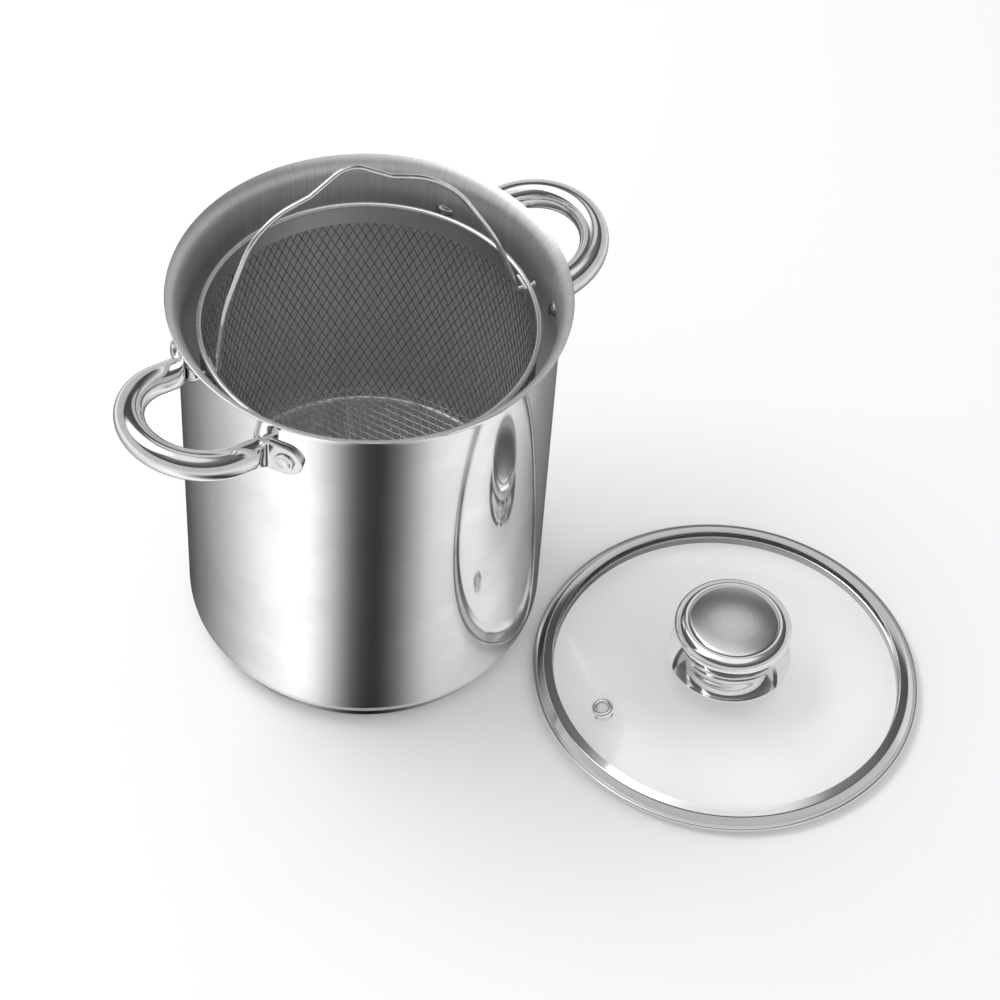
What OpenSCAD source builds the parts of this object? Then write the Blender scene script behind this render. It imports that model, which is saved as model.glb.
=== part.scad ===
// Tall stainless pot with a lift-out mesh basket and a glass lid lying beside it.
// Millimetres. The origin is the middle of the pot's base, +Z is up and the two handles lie close to the X axis.

/* [Pot] */
// Inside diameter of the pot
pot_inner_d = 160; // [150:1:170]
// Height of the pot from the surface to the top of its lip
pot_height = 196.4; // [190:1:215]
// Thickness of the pot's sheet
pot_wall = 0.8; // [0.6:0.1:1.2]
// Outside radius of the bend between wall and bottom
pot_corner_r = 14.8; // [12:0.5:20]
// Radius of the inside of the flared lip
lip_bend_r = 9; // [7:0.5:12]
// Angle through which the lip turns outwards
lip_turn = 66; // [50:1:75]

/* [Base] */
// Distance of the base disc's edge inside the pot's wall
base_inset = 7.2; // [5:0.2:14]
// Thickness of the aluminium core under the pot
core_thickness = 2.5; // [2:0.1:5]
// Thickness of the steel cap round the core
cap_thickness = 0.5; // [0.4:0.1:1]
// Outside radius of the cap's lower edge
cap_edge_r = 1.2; // [0.8:0.1:2]
// Gap of the seam between the cap's rim and the pot
cap_seam_gap = 0.7; // [0.4:0.1:1.2]

/* [Handles] */
// Diameter of the handle tube
handle_tube_d = 12.7; // [10:0.1:14]
// Wall of the handle tube
handle_tube_wall = 1; // [0.8:0.1:2]
// Distance of the grip's middle from the pot's wall
handle_standoff = 35.4; // [30:0.2:46]
// Half of the distance between the handle's two legs, and radius of the half-round grip
handle_half_w = 28; // [22:0.5:32]
// Upward tilt of the handle
handle_tilt = 10; // [0:1:15]
// Turn of the handles' line from the X axis
handle_turn = 4.4; // [-10:0.2:10]
// Gap between the pot and the middle of the tube's end
handle_root_gap = 4.2; // [4:0.1:6]
// Drop of the rivets below the pot's lip
rivet_drop = 23.4; // [18:0.2:40]
// Length along the wall from the middle of each leg to its rivet
ear_reach = 12.7; // [10:0.1:16]
// Length along the wall in which the tube's end is pressed down to the ear
pinch_reach = 4.6; // [1:0.1:6]
// Height of the flattened ear
ear_w = 15.4; // [12:0.1:18]
// Thickness of the flattened ear, two layers of tube wall
ear_t = 2; // [1.6:0.1:3]
// Shank diameter of a rivet
rivet_d = 5; // [4:0.1:6]
// Head diameter of a rivet outside the pot
rivet_head_d = 8.8; // [7.5:0.1:10]
// Head height of a rivet outside the pot
rivet_head_h = 1.7; // [1:0.1:3]
// Head diameter of a rivet inside the pot
rivet_inner_d = 9.4; // [8:0.1:11]
// Head height of a rivet inside the pot
rivet_inner_h = 2.4; // [1.5:0.1:3]

/* [Basket] */
// Turn of the basket's bail hinge from the X axis
basket_turn = -11.5; // [-20:0.5:20]
// Gap between the pot and the basket's solid band
basket_gap = 8.9; // [7:0.1:14]
// Thickness of the band
band_t = 0.5; // [0.4:0.1:0.8]
// Drop of the rolled rim's middle below the pot's lip
rim_drop = 18; // [14:0.2:30]
// Diameter of the wire inside the rolled rim
rim_wire_d = 1.6; // [1.2:0.1:2.4]
// Height of the band below the rim's middle
band_h = 9.5; // [9:0.1:16]
// Thickness of the mesh cloth
mesh_t = 0.8; // [0.6:0.1:1.2]
// Gap between the mesh on the band and the bail's pins above it
mesh_pin_gap = 1.2; // [0.6:0.1:2.5]
// Height of the basket's mesh floor above the pot's bottom
floor_rise = 54.8; // [45:0.2:80]
// Height of the floor cloth's upturned edge
floor_flange_h = 5.5; // [4:0.1:8]
// Radius of the fold between floor and upturned edge
floor_fold_r = 3; // [2:0.1:4]
// Number of diamond gaps round the mesh wall
mesh_columns = 24; // [16:1:24]
// Number of staggered rows of diamond gaps up the mesh wall
mesh_rows = 5; // [3:2:5]
// Width of the strands between the gaps
strand_w = 2.2; // [1.6:0.1:3]
// Solid edge below and above the rows of gaps
mesh_edge = 2.6; // [2:0.1:4]
// Wire diameter of the ring and feet under the basket
foot_wire_d = 3; // [2.4:0.1:4]
// Number of looped feet under the basket
foot_count = 3; // [3:1:4]
// Half of the distance between a foot's two legs
foot_half_w = 16; // [10:0.5:22]
// Radius of a foot's bends
foot_bend_r = 8; // [5:0.5:9]
// Inward lean of the feet
foot_lean = 5; // [3:0.5:8]

/* [Bail] */
// Wire diameter of the bail
bail_wire_d = 2.4; // [2:0.1:3]
// Drop of the bail's hinge below the middle of the rolled rim
bail_hinge_drop = 4.4; // [3:0.1:6]
// Gap between the bail's legs and the lugs
bail_side_gap = 0.6; // [0.4:0.1:2]
// Gap all round a bail pin in its hole
bail_pin_gap = 0.1; // [0.05:0.01:0.2]
// Length of a bail pin beyond the band
bail_pin_out = 5.6; // [3:0.1:6]
// Diameter of the upset end of a bail pin
bail_head_d = 4; // [3.4:0.1:5]
// Lean of the bail from upright at rest
bail_lean = 20; // [0:1:40]
// Angle from the hinge line up to the bail's knees
bail_knee_angle = 20.2; // [15:0.2:30]
// Distance of the knees inside the legs' circle
bail_knee_in = 1.4; // [0:0.1:3]
// Bend radius of the bail's knees
bail_knee_r = 80; // [40:1:90]
// Angle from the hinge line up to the bail's shoulders
bail_shoulder_angle = 54.6; // [50:0.2:58]
// Distance of the shoulders' corners outside the legs' circle
bail_shoulder_out = 4.6; // [3:0.1:5]
// Bend radius of the bail's shoulders
bail_shoulder_r = 40; // [20:1:42]
// Angle from the hinge line up to the foot of the bail's peak
bail_notch_angle = 74.7; // [72:0.1:77]
// Distance of the foot of the bail's peak outside the legs' circle
bail_notch_out = 0.2; // [0:0.1:1]
// Bend radius at the foot of the bail's peak
bail_notch_r = 6; // [4:0.5:12]
// Distance of the bail's peak outside the legs' circle
bail_peak_out = 7.8; // [6:0.1:9]
// Bend radius of the bail's peak
bail_peak_r = 13; // [6:0.5:14]
// Width of a bail lug
lug_w = 9; // [7:0.1:12]
// Height of a bail lug
lug_h = 7.6; // [6:0.1:9]
// Thickness of a bail lug
lug_t = 0.8; // [0.6:0.1:1.2]

/* [Lid] */
// Gap between the pot's wall and the lid's rim, seen from above
lid_spacing = 3.9; // [2:0.1:60]
// Direction of the lid from the pot
lid_direction = -49.9; // [-90:1:0]
// Overhang of the lid's rim beyond the pot's lip
lid_overhang = 2.9; // [1:0.1:5]
// Gap between the lid's skirt and the inside of the pot
lid_skirt_gap = 0.75; // [0.4:0.05:2]
// Depth of the lid's skirt below its flange
lid_skirt_h = 3.4; // [3:0.1:6]
// Thickness of the lid ring's sheet
ring_t = 0.5; // [0.4:0.1:0.8]
// Width of the hem round the lid ring
ring_hem_w = 2.3; // [1.8:0.1:3]
// Height of the hem round the lid ring
ring_hem_h = 1.8; // [1.6:0.1:2.4]
// Width of the sloped band of the lid ring
ring_slope_w = 2.6; // [2:0.1:3]
// Thickness of the glass
glass_t = 4; // [3.2:0.1:5]
// Rise of the glass dome from the ring's inner edge to the middle
dome_rise = 9.4; // [7:0.1:12]
// Gap between the glass and the lid ring
glass_gap = 0.1; // [0.05:0.01:0.2]
// Width of glass that the ring covers
glass_cover = 3.3; // [2.6:0.1:4]
// Distance of the vent from the edge of the visible glass
vent_inset = 15.2; // [12:0.2:40]
// Direction of the vent from the lid's axis
vent_direction = 172.5; // [0:0.5:360]
// Hole through the vent eyelet
vent_hole_d = 4.8; // [3:0.1:6]
// Outside diameter of the eyelet's barrel
vent_barrel_d = 6.6; // [6.4:0.1:8]
// Diameter of the eyelet's upper flange
vent_flange_d = 10; // [9:0.1:13]
// Height of the eyelet above the glass
vent_flange_h = 2.2; // [1.2:0.1:3]

/* [Knob] */
// Largest diameter of the knob's cap
knob_cap_d = 53.2; // [46:0.2:56]
// Height of the top of the knob above the glass
knob_h = 25.4; // [24:0.1:30]
// Diameter of the knob's domed top
knob_dome_d = 44.6; // [38:0.2:45]
// Rise of the knob's domed top
knob_dome_rise = 2.4; // [1.5:0.1:4]
// Height of the cap's rounded shoulder
knob_shoulder_h = 5.2; // [4:0.1:6]
// Diameter of the knob's lower flange
knob_flange_d = 56.4; // [50:0.2:60]
// Diameter of the knob's waist
knob_waist_d = 25; // [22:0.5:30]
// Thickness of the knob's sheet
knob_t = 0.6; // [0.5:0.1:1]
// Diameter of the threaded post inside the knob
post_d = 9; // [8:0.1:12]
// Shank diameter of the knob's screw
screw_d = 5; // [4:0.1:6]
// Head diameter of the knob's screw
screw_head_d = 10.5; // [9:0.1:12]
// Head height of the knob's screw
screw_head_h = 3; // [2:0.1:4]
// Thickness of the steel washer
washer_t = 1; // [0.6:0.1:2]
// Diameter of the steel washer
washer_d = 15; // [12:0.1:18]
// Diameter of the hole through the glass for the screw
glass_hole_d = 9; // [8:0.1:10]

/* [Hidden] */
$fn = 96;

STEEL = [0.80, 0.80, 0.79];
BRUSHED = [0.66, 0.65, 0.64];
ALUMINIUM = [0.74, 0.75, 0.77];
WIRE = [0.72, 0.72, 0.71];
GLASS = [0.86, 0.90, 0.89, 0.35];
RUBBER = [0.88, 0.88, 0.86];

// Far past any surface, for tools that cut right through
through = 400;
// Overlap of a tool past the face that it cuts
past = 1;
// Gap between surfaces that rest or are joined, so that curved faces stay clear of each other
seat_gap = 0.03;
// Overlap of a rod's straight into a bend, and the bend's extra diameter, so that their faces cross cleanly
bend_lap = 0.05;
bend_swell = 0.06;

pot_inner_r = pot_inner_d / 2;
pot_outer_r = pot_inner_r + pot_wall;
// Underside of the pot's own bottom, which lies on the core
pot_floor_z = cap_thickness + core_thickness;
lip_mid_r = lip_bend_r - pot_wall / 2;
lip_start_z = pot_height - lip_mid_r * sin(lip_turn) - pot_wall / 2;
lip_outer_r = pot_inner_r + lip_bend_r - lip_mid_r * cos(lip_turn) + pot_wall / 2;
base_disc_r = pot_outer_r - base_inset;
core_r = base_disc_r - cap_thickness;
seam_z = pot_floor_z + corner_rise(core_r) - cap_seam_gap;

ear_outer_r = pot_outer_r + ear_t;
handle_root_r = pot_outer_r + handle_root_gap;
handle_root_angle = asin(handle_half_w / handle_root_r);
handle_root_x = handle_root_r * cos(handle_root_angle);
handle_run = (pot_outer_r + handle_standoff - handle_root_x) / cos(handle_tilt);
handle_leg = handle_run - handle_half_w;
rivet_z = pot_height - rivet_drop;
rivet_hole_d = rivet_d + 2 * seat_gap;
rivet_angle = handle_root_angle + ear_reach / ear_outer_r * 180 / PI;
pinch_angle = handle_root_angle + pinch_reach / ear_outer_r * 180 / PI;
// Step on each edge where the round tip of an ear meets its neck
ear_neck_step = 0.6;

pot_inside_z = pot_floor_z + pot_wall;
band_outer_r = pot_inner_r - basket_gap;
band_inner_r = band_outer_r - band_t;
rim_z = pot_height - rim_drop;
floor_z = pot_inside_z + floor_rise;
rim_roll_d = rim_wire_d + 2 * band_t;
rim_r = band_inner_r + rim_roll_d / 2;
band_bottom_z = rim_z - band_h;
mesh_inner_r = band_outer_r;
mesh_outer_r = mesh_inner_r + mesh_t;
bail_hinge_z = rim_z - bail_hinge_drop;
mesh_top_z = bail_hinge_z - bail_wire_d / 2 - mesh_pin_gap;
mesh_pitch = 360 / mesh_columns;
gap_rows_bottom = floor_z + mesh_t + mesh_edge;
gap_rows_top = band_bottom_z - mesh_edge / 2;
gap_cell_h = 2 * (gap_rows_top - gap_rows_bottom) / (mesh_rows + 1);
gap_cell_w = 2 * mesh_outer_r * sin(mesh_pitch / 2);
foot_ring_r = mesh_inner_r - foot_wire_d / 2 - seat_gap;
foot_ring_z = floor_z + floor_fold_r - sqrt(
  pow(floor_fold_r + foot_wire_d / 2 + seat_gap, 2) - pow(foot_ring_r - mesh_inner_r + floor_fold_r, 2));
foot_top_r = sqrt(pow(foot_ring_r - foot_wire_d - seat_gap, 2) - pow(foot_half_w, 2));
foot_length = (foot_ring_z - pot_inside_z - foot_wire_d / 2 - 3 * seat_gap) / cos(foot_lean);

bail_leg_x = band_inner_r - lug_t - bail_side_gap - bail_wire_d / 2;
bail_hole_d = bail_wire_d + 2 * bail_pin_gap;
bail_corner_r = bail_wire_d / 2 + 0.2;
bail_pin_x = band_outer_r + bail_pin_out;

ring_outer_r = lip_outer_r + lid_overhang;
lid_distance = pot_outer_r + lid_spacing + ring_outer_r;
lid_x = lid_distance * cos(lid_direction);
lid_y = lid_distance * sin(lid_direction);
skirt_r = pot_inner_r - lid_skirt_gap - ring_t / 2;
ring_band_r = ring_outer_r - ring_hem_w - ring_slope_w;
glass_r = ring_band_r - ring_t;
ring_inner_r = glass_r - glass_cover;
vent_r = ring_inner_r - vent_inset;
dome_r = (pow(ring_inner_r, 2) + pow(dome_rise, 2)) / (2 * dome_rise);
// The glass stands on the ring's flange at its edge
glass_edge_z = lid_skirt_h + ring_t / 2 + glass_gap;
dome_centre_z = glass_edge_z - sqrt(pow(dome_r - glass_t, 2) - pow(glass_r, 2));
glass_top_z = dome_centre_z + dome_r;

knob_top_z = glass_top_z + knob_h;
knob_dome_z = knob_top_z - knob_dome_rise;
knob_rim_z = knob_dome_z - knob_shoulder_h;
knob_dome_r = (pow(knob_dome_d / 2, 2) + pow(knob_dome_rise, 2)) / (2 * knob_dome_rise);
knob_flange_r = knob_flange_d / 2;
knob_seal_gap = 0.7;
knob_flange_z = glass_top_z - dome_drop(knob_flange_r) + knob_seal_gap;
knob_waist_r = knob_waist_d / 2;
knob_brim_rise = 0.5;
knob_neck_r = (knob_rim_z - knob_flange_z - knob_brim_rise - 2 * knob_t) / 2;
knob_neck_z = knob_flange_z + knob_brim_rise + knob_t + knob_neck_r;
lower_seal_t = 1.2;
washer_top_z = glass_top_z - glass_t - lower_seal_t;
screw_head_z = washer_top_z - washer_t;

// Rise of the pot's rounded corner above its flat bottom at a radius
function corner_rise(r) =
  pot_corner_r - sqrt(pow(pot_corner_r, 2) - pow(max(0, r - pot_outer_r + pot_corner_r), 2));
// Drop of the glass dome below its top at a radius
function dome_drop(r) = dome_r - sqrt(pow(dome_r, 2) - pow(r, 2));
function unit(v) = v / norm(v);
// Angle from one direction to the next, positive when it turns left
function turn_angle(u, v) = atan2(u.x * v.y - u.y * v.x, u.x * v.x + u.y * v.y);
function heading(path, i) = unit([path[i + 1].x - path[i].x, path[i + 1].y - path[i].y]);
function bend_turn(path, i) =
  i == 0 || i == len(path) - 1 ? 0 : turn_angle(heading(path, i - 1), heading(path, i));
function bend_trim(path, i) = path[i].z * tan(abs(bend_turn(path, i)) / 2);
// Both sides of a sheet that follows a line of points
function sheet_normal(line, i) =
  let (u = i == 0 ? unit(line[1] - line[0]) : unit(line[i] - line[i - 1]),
       v = i == len(line) - 1 ? u : unit(line[i + 1] - line[i]),
       n = unit([-u.y - v.y, u.x + v.x]))
  n / (n.x * -u.y + n.y * u.x);
function sheet_side(line, offset) = [for (i = [0 : len(line) - 1]) line[i] + offset * sheet_normal(line, i)];
function reversed(list) = [for (i = [len(list) - 1 : -1 : 0]) list[i]];
function arc_points(centre, r, from, to, steps) =
  [for (i = [0 : steps]) centre + r * [cos(from + (to - from) * i / steps), sin(from + (to - from) * i / steps)]];

module sheet_section(line, thickness) {
  polygon(concat(sheet_side(line, thickness / 2), reversed(sheet_side(line, -thickness / 2))));
}

// A round rod along a flat path of [x, y, bend radius] corners
module bent_rod(path, d) {
  last = len(path) - 1;
  for (i = [0 : last - 1]) {
    u = heading(path, i);
    start = i == 0 ? 0 : bend_trim(path, i) - bend_lap;
    end = i == last - 1 ? 0 : bend_trim(path, i + 1) - bend_lap;
    length = norm([path[i + 1].x - path[i].x, path[i + 1].y - path[i].y]);
    translate([path[i].x + u.x * start, path[i].y + u.y * start, 0])
      rotate([0, 0, atan2(u.y, u.x)]) rotate([0, 90, 0]) cylinder(d = d, h = length - start - end);
  }
  for (i = [1 : last - 1]) {
    u = heading(path, i - 1);
    turn = bend_turn(path, i);
    side = sign(turn);
    start = [path[i].x - u.x * bend_trim(path, i), path[i].y - u.y * bend_trim(path, i)];
    centre = start + side * path[i].z * [-u.y, u.x];
    translate([centre.x, centre.y, 0])
      rotate([0, 0, atan2(start.y - centre.y, start.x - centre.x) + min(0, turn)])
        rotate_extrude(angle = abs(turn)) translate([path[i].z, 0]) rotate(-90) circle(d = d + bend_swell, $fn = 48);
  }
}

// Half section of a round vessel with a rounded lower corner
module vessel_section(radius, corner, bottom, top) {
  translate([0, bottom]) square([radius - corner, top - bottom]);
  translate([0, bottom + corner]) square([radius, top - bottom - corner]);
  translate([radius - corner, bottom + corner]) circle(corner);
}

module pot_outer_section() {
  intersection() {
    vessel_section(pot_outer_r, pot_corner_r, pot_floor_z, lip_start_z);
    square([through, through]);
  }
}

module pot_inner_section() {
  intersection() {
    vessel_section(pot_inner_r, pot_corner_r - pot_wall, pot_floor_z + pot_wall, through);
    square([through, through]);
  }
}

module lip_section() {
  reach = 2 * lip_bend_r;
  translate([pot_inner_r + lip_bend_r, lip_start_z]) {
    intersection() {
      difference() {
        circle(lip_bend_r);
        circle(lip_bend_r - pot_wall);
      }
      polygon([[0, 0], [-reach, 0], [-reach, reach * tan(lip_turn / 2)], reach * [-cos(lip_turn), sin(lip_turn)]]);
    }
    translate(lip_mid_r * [-cos(lip_turn), sin(lip_turn)]) circle(d = pot_wall, $fn = 32);
  }
}

// Lays its children outwards from a radius, on the axis of each of one handle's rivets
module at_rivets(start_r) {
  for (angle = [-rivet_angle, rivet_angle])
    rotate([0, 0, angle]) translate([start_r, 0, rivet_z]) rotate([0, 90, 0]) children();
}

module pot_shell() {
  color(STEEL) difference() {
    rotate_extrude() {
      difference() {
        pot_outer_section();
        pot_inner_section();
      }
      lip_section();
    }
    for (side = [0, 180]) rotate([0, 0, side + handle_turn])
      at_rivets(pot_inner_r - past) cylinder(d = rivet_hole_d, h = pot_wall + 2 * past);
  }
}

module base_core() {
  color(ALUMINIUM) rotate_extrude() difference() {
    translate([0, cap_thickness]) square([core_r - seat_gap, seam_z - cap_thickness]);
    pot_outer_section();
    translate([core_r - cap_edge_r, 0]) square([through, cap_thickness + past]);
  }
}

module base_cap() {
  color(STEEL) rotate_extrude() difference() {
    union() {
      square([base_disc_r - cap_edge_r, seam_z]);
      translate([0, cap_edge_r]) square([base_disc_r, seam_z - cap_edge_r]);
      translate([base_disc_r - cap_edge_r, cap_edge_r]) circle(cap_edge_r, $fn = 48);
    }
    translate([0, cap_thickness]) square([core_r, through]);
  }
}

// Two straight legs and a half-round grip
module handle_rod(d) {
  for (side = [-1, 1])
    translate([0, side * handle_half_w, 0]) rotate([0, 90, 0]) cylinder(d = d, h = handle_leg + bend_lap);
  translate([handle_leg, 0, 0]) rotate([0, 0, -90]) rotate_extrude(angle = 180)
    translate([handle_half_w, 0]) rotate(-90) circle(d = d + bend_swell, $fn = 48);
}

module in_handle_plane() {
  translate([handle_root_x, 0, rivet_z]) rotate([0, -handle_tilt, 0]) children();
}

// The tube's end, pressed flat into the neck of the ear
module pinched_end(side) {
  slice = 0.2;
  margin = 0.15;
  hull() {
    in_handle_plane() translate([0, side * handle_half_w, 0]) rotate([0, 90, 0])
      cylinder(d = handle_tube_d + margin, h = slice, $fn = 40);
    rotate([0, 0, side * pinch_angle])
      translate([pot_outer_r - margin, -slice / 2, rivet_z - ear_w / 2 + ear_neck_step + margin])
        cube([ear_t, slice, ear_w - 2 * (ear_neck_step + margin)]);
  }
}

module ear(side) {
  lap = 0.6;
  neck = ear_outer_r * sin(rivet_angle - pinch_angle) + lap;
  start_r = pot_inner_r - past;
  intersection() {
    translate([0, 0, rivet_z - ear_w]) cylinder(r = ear_outer_r, h = 2 * ear_w);
    rotate([0, 0, side * rivet_angle]) translate([start_r, 0, rivet_z]) rotate([0, 90, 0])
      linear_extrude(ear_outer_r + past - start_r) {
        circle(d = ear_w);
        translate([ear_neck_step - ear_w / 2, side > 0 ? -neck : 0]) square([ear_w - 2 * ear_neck_step, neck]);
      }
  }
}

module handle() {
  rotate([0, 0, handle_turn]) difference() {
    union() {
      in_handle_plane() difference() {
        handle_rod(handle_tube_d);
        handle_rod(handle_tube_d - 2 * handle_tube_wall);
      }
      for (side = [-1, 1]) {
        pinched_end(side);
        ear(side);
      }
    }
    cylinder(r = pot_outer_r, h = through);
    at_rivets(pot_outer_r - past) cylinder(d = rivet_hole_d, h = ear_t + 2 * past);
  }
}

module handle_right() {
  color(STEEL) handle();
}

module handle_left() {
  color(STEEL) rotate([0, 0, 180]) handle();
}

// A low domed head, standing on z = 0
module rivet_head(d, h) {
  ball_r = (pow(d / 2, 2) + pow(h, 2)) / (2 * h);
  intersection() {
    translate([0, 0, h - ball_r]) sphere(ball_r);
    cylinder(d = d, h = h);
  }
}

module rivet(angle) {
  seat = 0.3;
  color(STEEL) rotate([0, 0, angle + handle_turn]) {
    translate([pot_inner_r - seat, 0, rivet_z]) rotate([0, 90, 0])
      cylinder(d = rivet_d, h = pot_wall + ear_t + 2 * seat);
    difference() {
      translate([ear_outer_r - seat, 0, rivet_z]) rotate([0, 90, 0]) rivet_head(rivet_head_d, rivet_head_h + seat);
      cylinder(r = ear_outer_r, h = through);
    }
    intersection() {
      translate([pot_inner_r + seat, 0, rivet_z]) rotate([0, -90, 0]) rivet_head(rivet_inner_d, rivet_inner_h + seat);
      cylinder(r = pot_inner_r, h = through);
    }
  }
}

module basket_band() {
  color(STEEL) rotate([0, 0, basket_turn]) difference() {
    rotate_extrude() {
      translate([band_inner_r, band_bottom_z]) square([band_t, band_h]);
      translate([rim_r, rim_z]) circle(d = rim_roll_d, $fn = 48);
    }
    rotate_extrude() translate([rim_r, rim_z]) circle(d = rim_wire_d + 2 * seat_gap, $fn = 48);
    translate([-through / 2, 0, bail_hinge_z]) rotate([0, 90, 0]) cylinder(d = bail_hole_d, h = through);
  }
}

module basket_rim_wire() {
  color(WIRE) rotate_extrude() translate([rim_r, rim_z]) circle(d = rim_wire_d, $fn = 48);
}

// A diamond of the cloth's lattice, less half a strand on every side
module mesh_gap(width, height) {
  half = [width / 2, height / 2];
  size = 1 - strand_w / 2 * norm([1 / half.x, 1 / half.y]);
  polygon(size * [[half.x, 0], [0, half.y], [-half.x, 0], [0, -half.y]]);
}

module basket_wall() {
  color(WIRE) rotate([0, 0, basket_turn]) difference() {
    rotate_extrude() translate([mesh_inner_r, foot_ring_z]) square([mesh_t, mesh_top_z - foot_ring_z]);
    for (row = [0 : mesh_rows - 1]) for (column = [0 : mesh_columns - 1])
      rotate([0, 0, (column + row % 2 / 2) * mesh_pitch])
        translate([mesh_inner_r - past, 0, gap_rows_bottom + (row + 1) * gap_cell_h / 2])
          rotate([90, 0, 90]) linear_extrude(mesh_t + 2 * past) mesh_gap(gap_cell_w, gap_cell_h);
  }
}

module basket_floor() {
  dish_r = mesh_inner_r - seat_gap;
  steps = floor(dish_r / gap_cell_w * 2);
  clear_r = dish_r - floor_fold_r - mesh_edge;
  color(WIRE) rotate([0, 0, basket_turn]) difference() {
    rotate_extrude() difference() {
      intersection() {
        vessel_section(dish_r, floor_fold_r, floor_z, floor_z + floor_flange_h);
        square([through, through]);
      }
      vessel_section(dish_r - mesh_t, floor_fold_r - mesh_t, floor_z + mesh_t, through);
    }
    for (i = [-steps : steps]) for (j = [-steps : steps]) {
      at = [i * gap_cell_w / 2, j * gap_cell_h / 2];
      if ((i + j) % 2 == 0 && norm([abs(at.x) + gap_cell_w / 3, abs(at.y) + gap_cell_h / 3]) < clear_r)
        translate([at.x, at.y, floor_z - past]) linear_extrude(mesh_t + 2 * past) mesh_gap(gap_cell_w, gap_cell_h);
    }
  }
}

module basket_foot_ring() {
  color(WIRE) rotate_extrude() translate([foot_ring_r, foot_ring_z]) circle(d = foot_wire_d, $fn = 48);
}

// A loop of wire whose two legs are welded inside the ring
module basket_foot(index) {
  color(WIRE) rotate([0, 0, basket_turn + 90 + index * 360 / foot_count])
    translate([foot_top_r, 0, foot_ring_z]) rotate([0, foot_lean, 0]) rotate([90, 180, 90])
      bent_rod([
        [-foot_half_w, 0, 0],
        [-foot_half_w, foot_length, foot_bend_r],
        [foot_half_w, foot_length, foot_bend_r],
        [foot_half_w, 0, 0]
      ], foot_wire_d);
}

module bail_lug(side) {
  color(STEEL) rotate([0, 0, basket_turn]) intersection() {
    difference() {
      translate([0, 0, bail_hinge_z - lug_h / 2]) cylinder(r = band_inner_r, h = lug_h);
      translate([0, 0, bail_hinge_z - lug_h]) cylinder(r = band_inner_r - lug_t, h = 2 * lug_h);
      translate([-through / 2, 0, bail_hinge_z]) rotate([0, 90, 0]) cylinder(d = bail_hole_d, h = through);
    }
    translate([side * band_inner_r - band_inner_r / 2, -lug_w / 2, 0]) cube([band_inner_r, lug_w, through]);
  }
}

// A corner of the bail at an angle from the hinge line and a distance outside the legs' circle
function bail_corner(side, angle, out, r) = [
  side * (bail_leg_x + out) * cos(angle), (bail_leg_x + out) * sin(angle), r
];
function bail_half(side) = [
  [side * bail_pin_x, 0, 0],
  [side * bail_leg_x, 0, bail_corner_r],
  bail_corner(side, bail_knee_angle, -bail_knee_in, bail_knee_r),
  bail_corner(side, bail_shoulder_angle, bail_shoulder_out, bail_shoulder_r),
  bail_corner(side, bail_notch_angle, bail_notch_out, bail_notch_r)
];

module bail() {
  color(STEEL) translate([0, 0, bail_hinge_z]) rotate([0, 0, basket_turn]) rotate([90 - bail_lean, 0, 0]) {
    bent_rod(
      concat(bail_half(-1), [[0, bail_leg_x + bail_peak_out, bail_peak_r]], reversed(bail_half(1))), bail_wire_d);
    for (side = [-1, 1])
      translate([side * (bail_pin_x - 0.5), 0, 0]) rotate([0, 90, 0]) cylinder(d = bail_head_d, h = 1, center = true);
  }
}

module beside_pot() {
  translate([lid_x, lid_y, 0]) children();
}

// Stands its children on the glass at a distance from the lid's axis
module on_dome(r, direction) {
  rotate([0, 0, direction]) translate([0, 0, dome_centre_z]) rotate([0, asin(r / dome_r), 0])
    translate([0, 0, dome_r]) children();
}

module lid_glass() {
  color(GLASS) beside_pot() difference() {
    intersection() {
      translate([0, 0, dome_centre_z]) sphere(dome_r, $fn = 192);
      cylinder(r = glass_r, h = through);
    }
    translate([0, 0, dome_centre_z]) sphere(dome_r - glass_t, $fn = 192);
    translate([0, 0, glass_top_z - 2 * glass_t]) cylinder(d = glass_hole_d, h = 3 * glass_t);
    on_dome(vent_r, vent_direction) translate([0, 0, -2 * glass_t])
      cylinder(d = vent_barrel_d + 2 * glass_gap, h = 3 * glass_t);
  }
}

module lid_ring() {
  hem_r = (ring_hem_h - ring_t) / 2;
  hem_x = ring_outer_r - ring_t / 2 - hem_r;
  hem_top = lid_skirt_h + 2 * hem_r;
  band_z = glass_top_z + ring_t / 2 + glass_gap;
  line = concat(
    [[skirt_r, 0], [skirt_r, lid_skirt_h]],
    arc_points([hem_x, lid_skirt_h + hem_r], hem_r, -90, 90, 8),
    [[ring_outer_r - ring_hem_w, hem_top]],
    [[ring_band_r, band_z - dome_drop(ring_band_r)]],
    [[ring_inner_r, band_z - dome_drop(ring_inner_r)]]);
  color(STEEL) beside_pot() rotate_extrude() sheet_section(line, ring_t);
}

module vent_eyelet() {
  flange_r = vent_flange_d / 2;
  edge_r = vent_flange_h / 2;
  color(STEEL) beside_pot() on_dome(vent_r, vent_direction) difference() {
    union() {
      translate([0, 0, -glass_t - 0.6]) cylinder(d = vent_barrel_d, h = glass_t + 1.2);
      rotate_extrude() {
        square([flange_r - edge_r, vent_flange_h]);
        translate([flange_r - edge_r, 0]) square([edge_r, edge_r]);
        intersection() {
          translate([flange_r - edge_r, edge_r]) circle(edge_r, $fn = 48);
          square([through, through]);
        }
      }
      translate([0, 0, -glass_t - glass_gap - 1]) cylinder(d = vent_flange_d - 1, h = 1);
    }
    translate([0, 0, -2 * glass_t]) cylinder(d = vent_hole_d, h = 4 * glass_t);
  }
}

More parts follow.
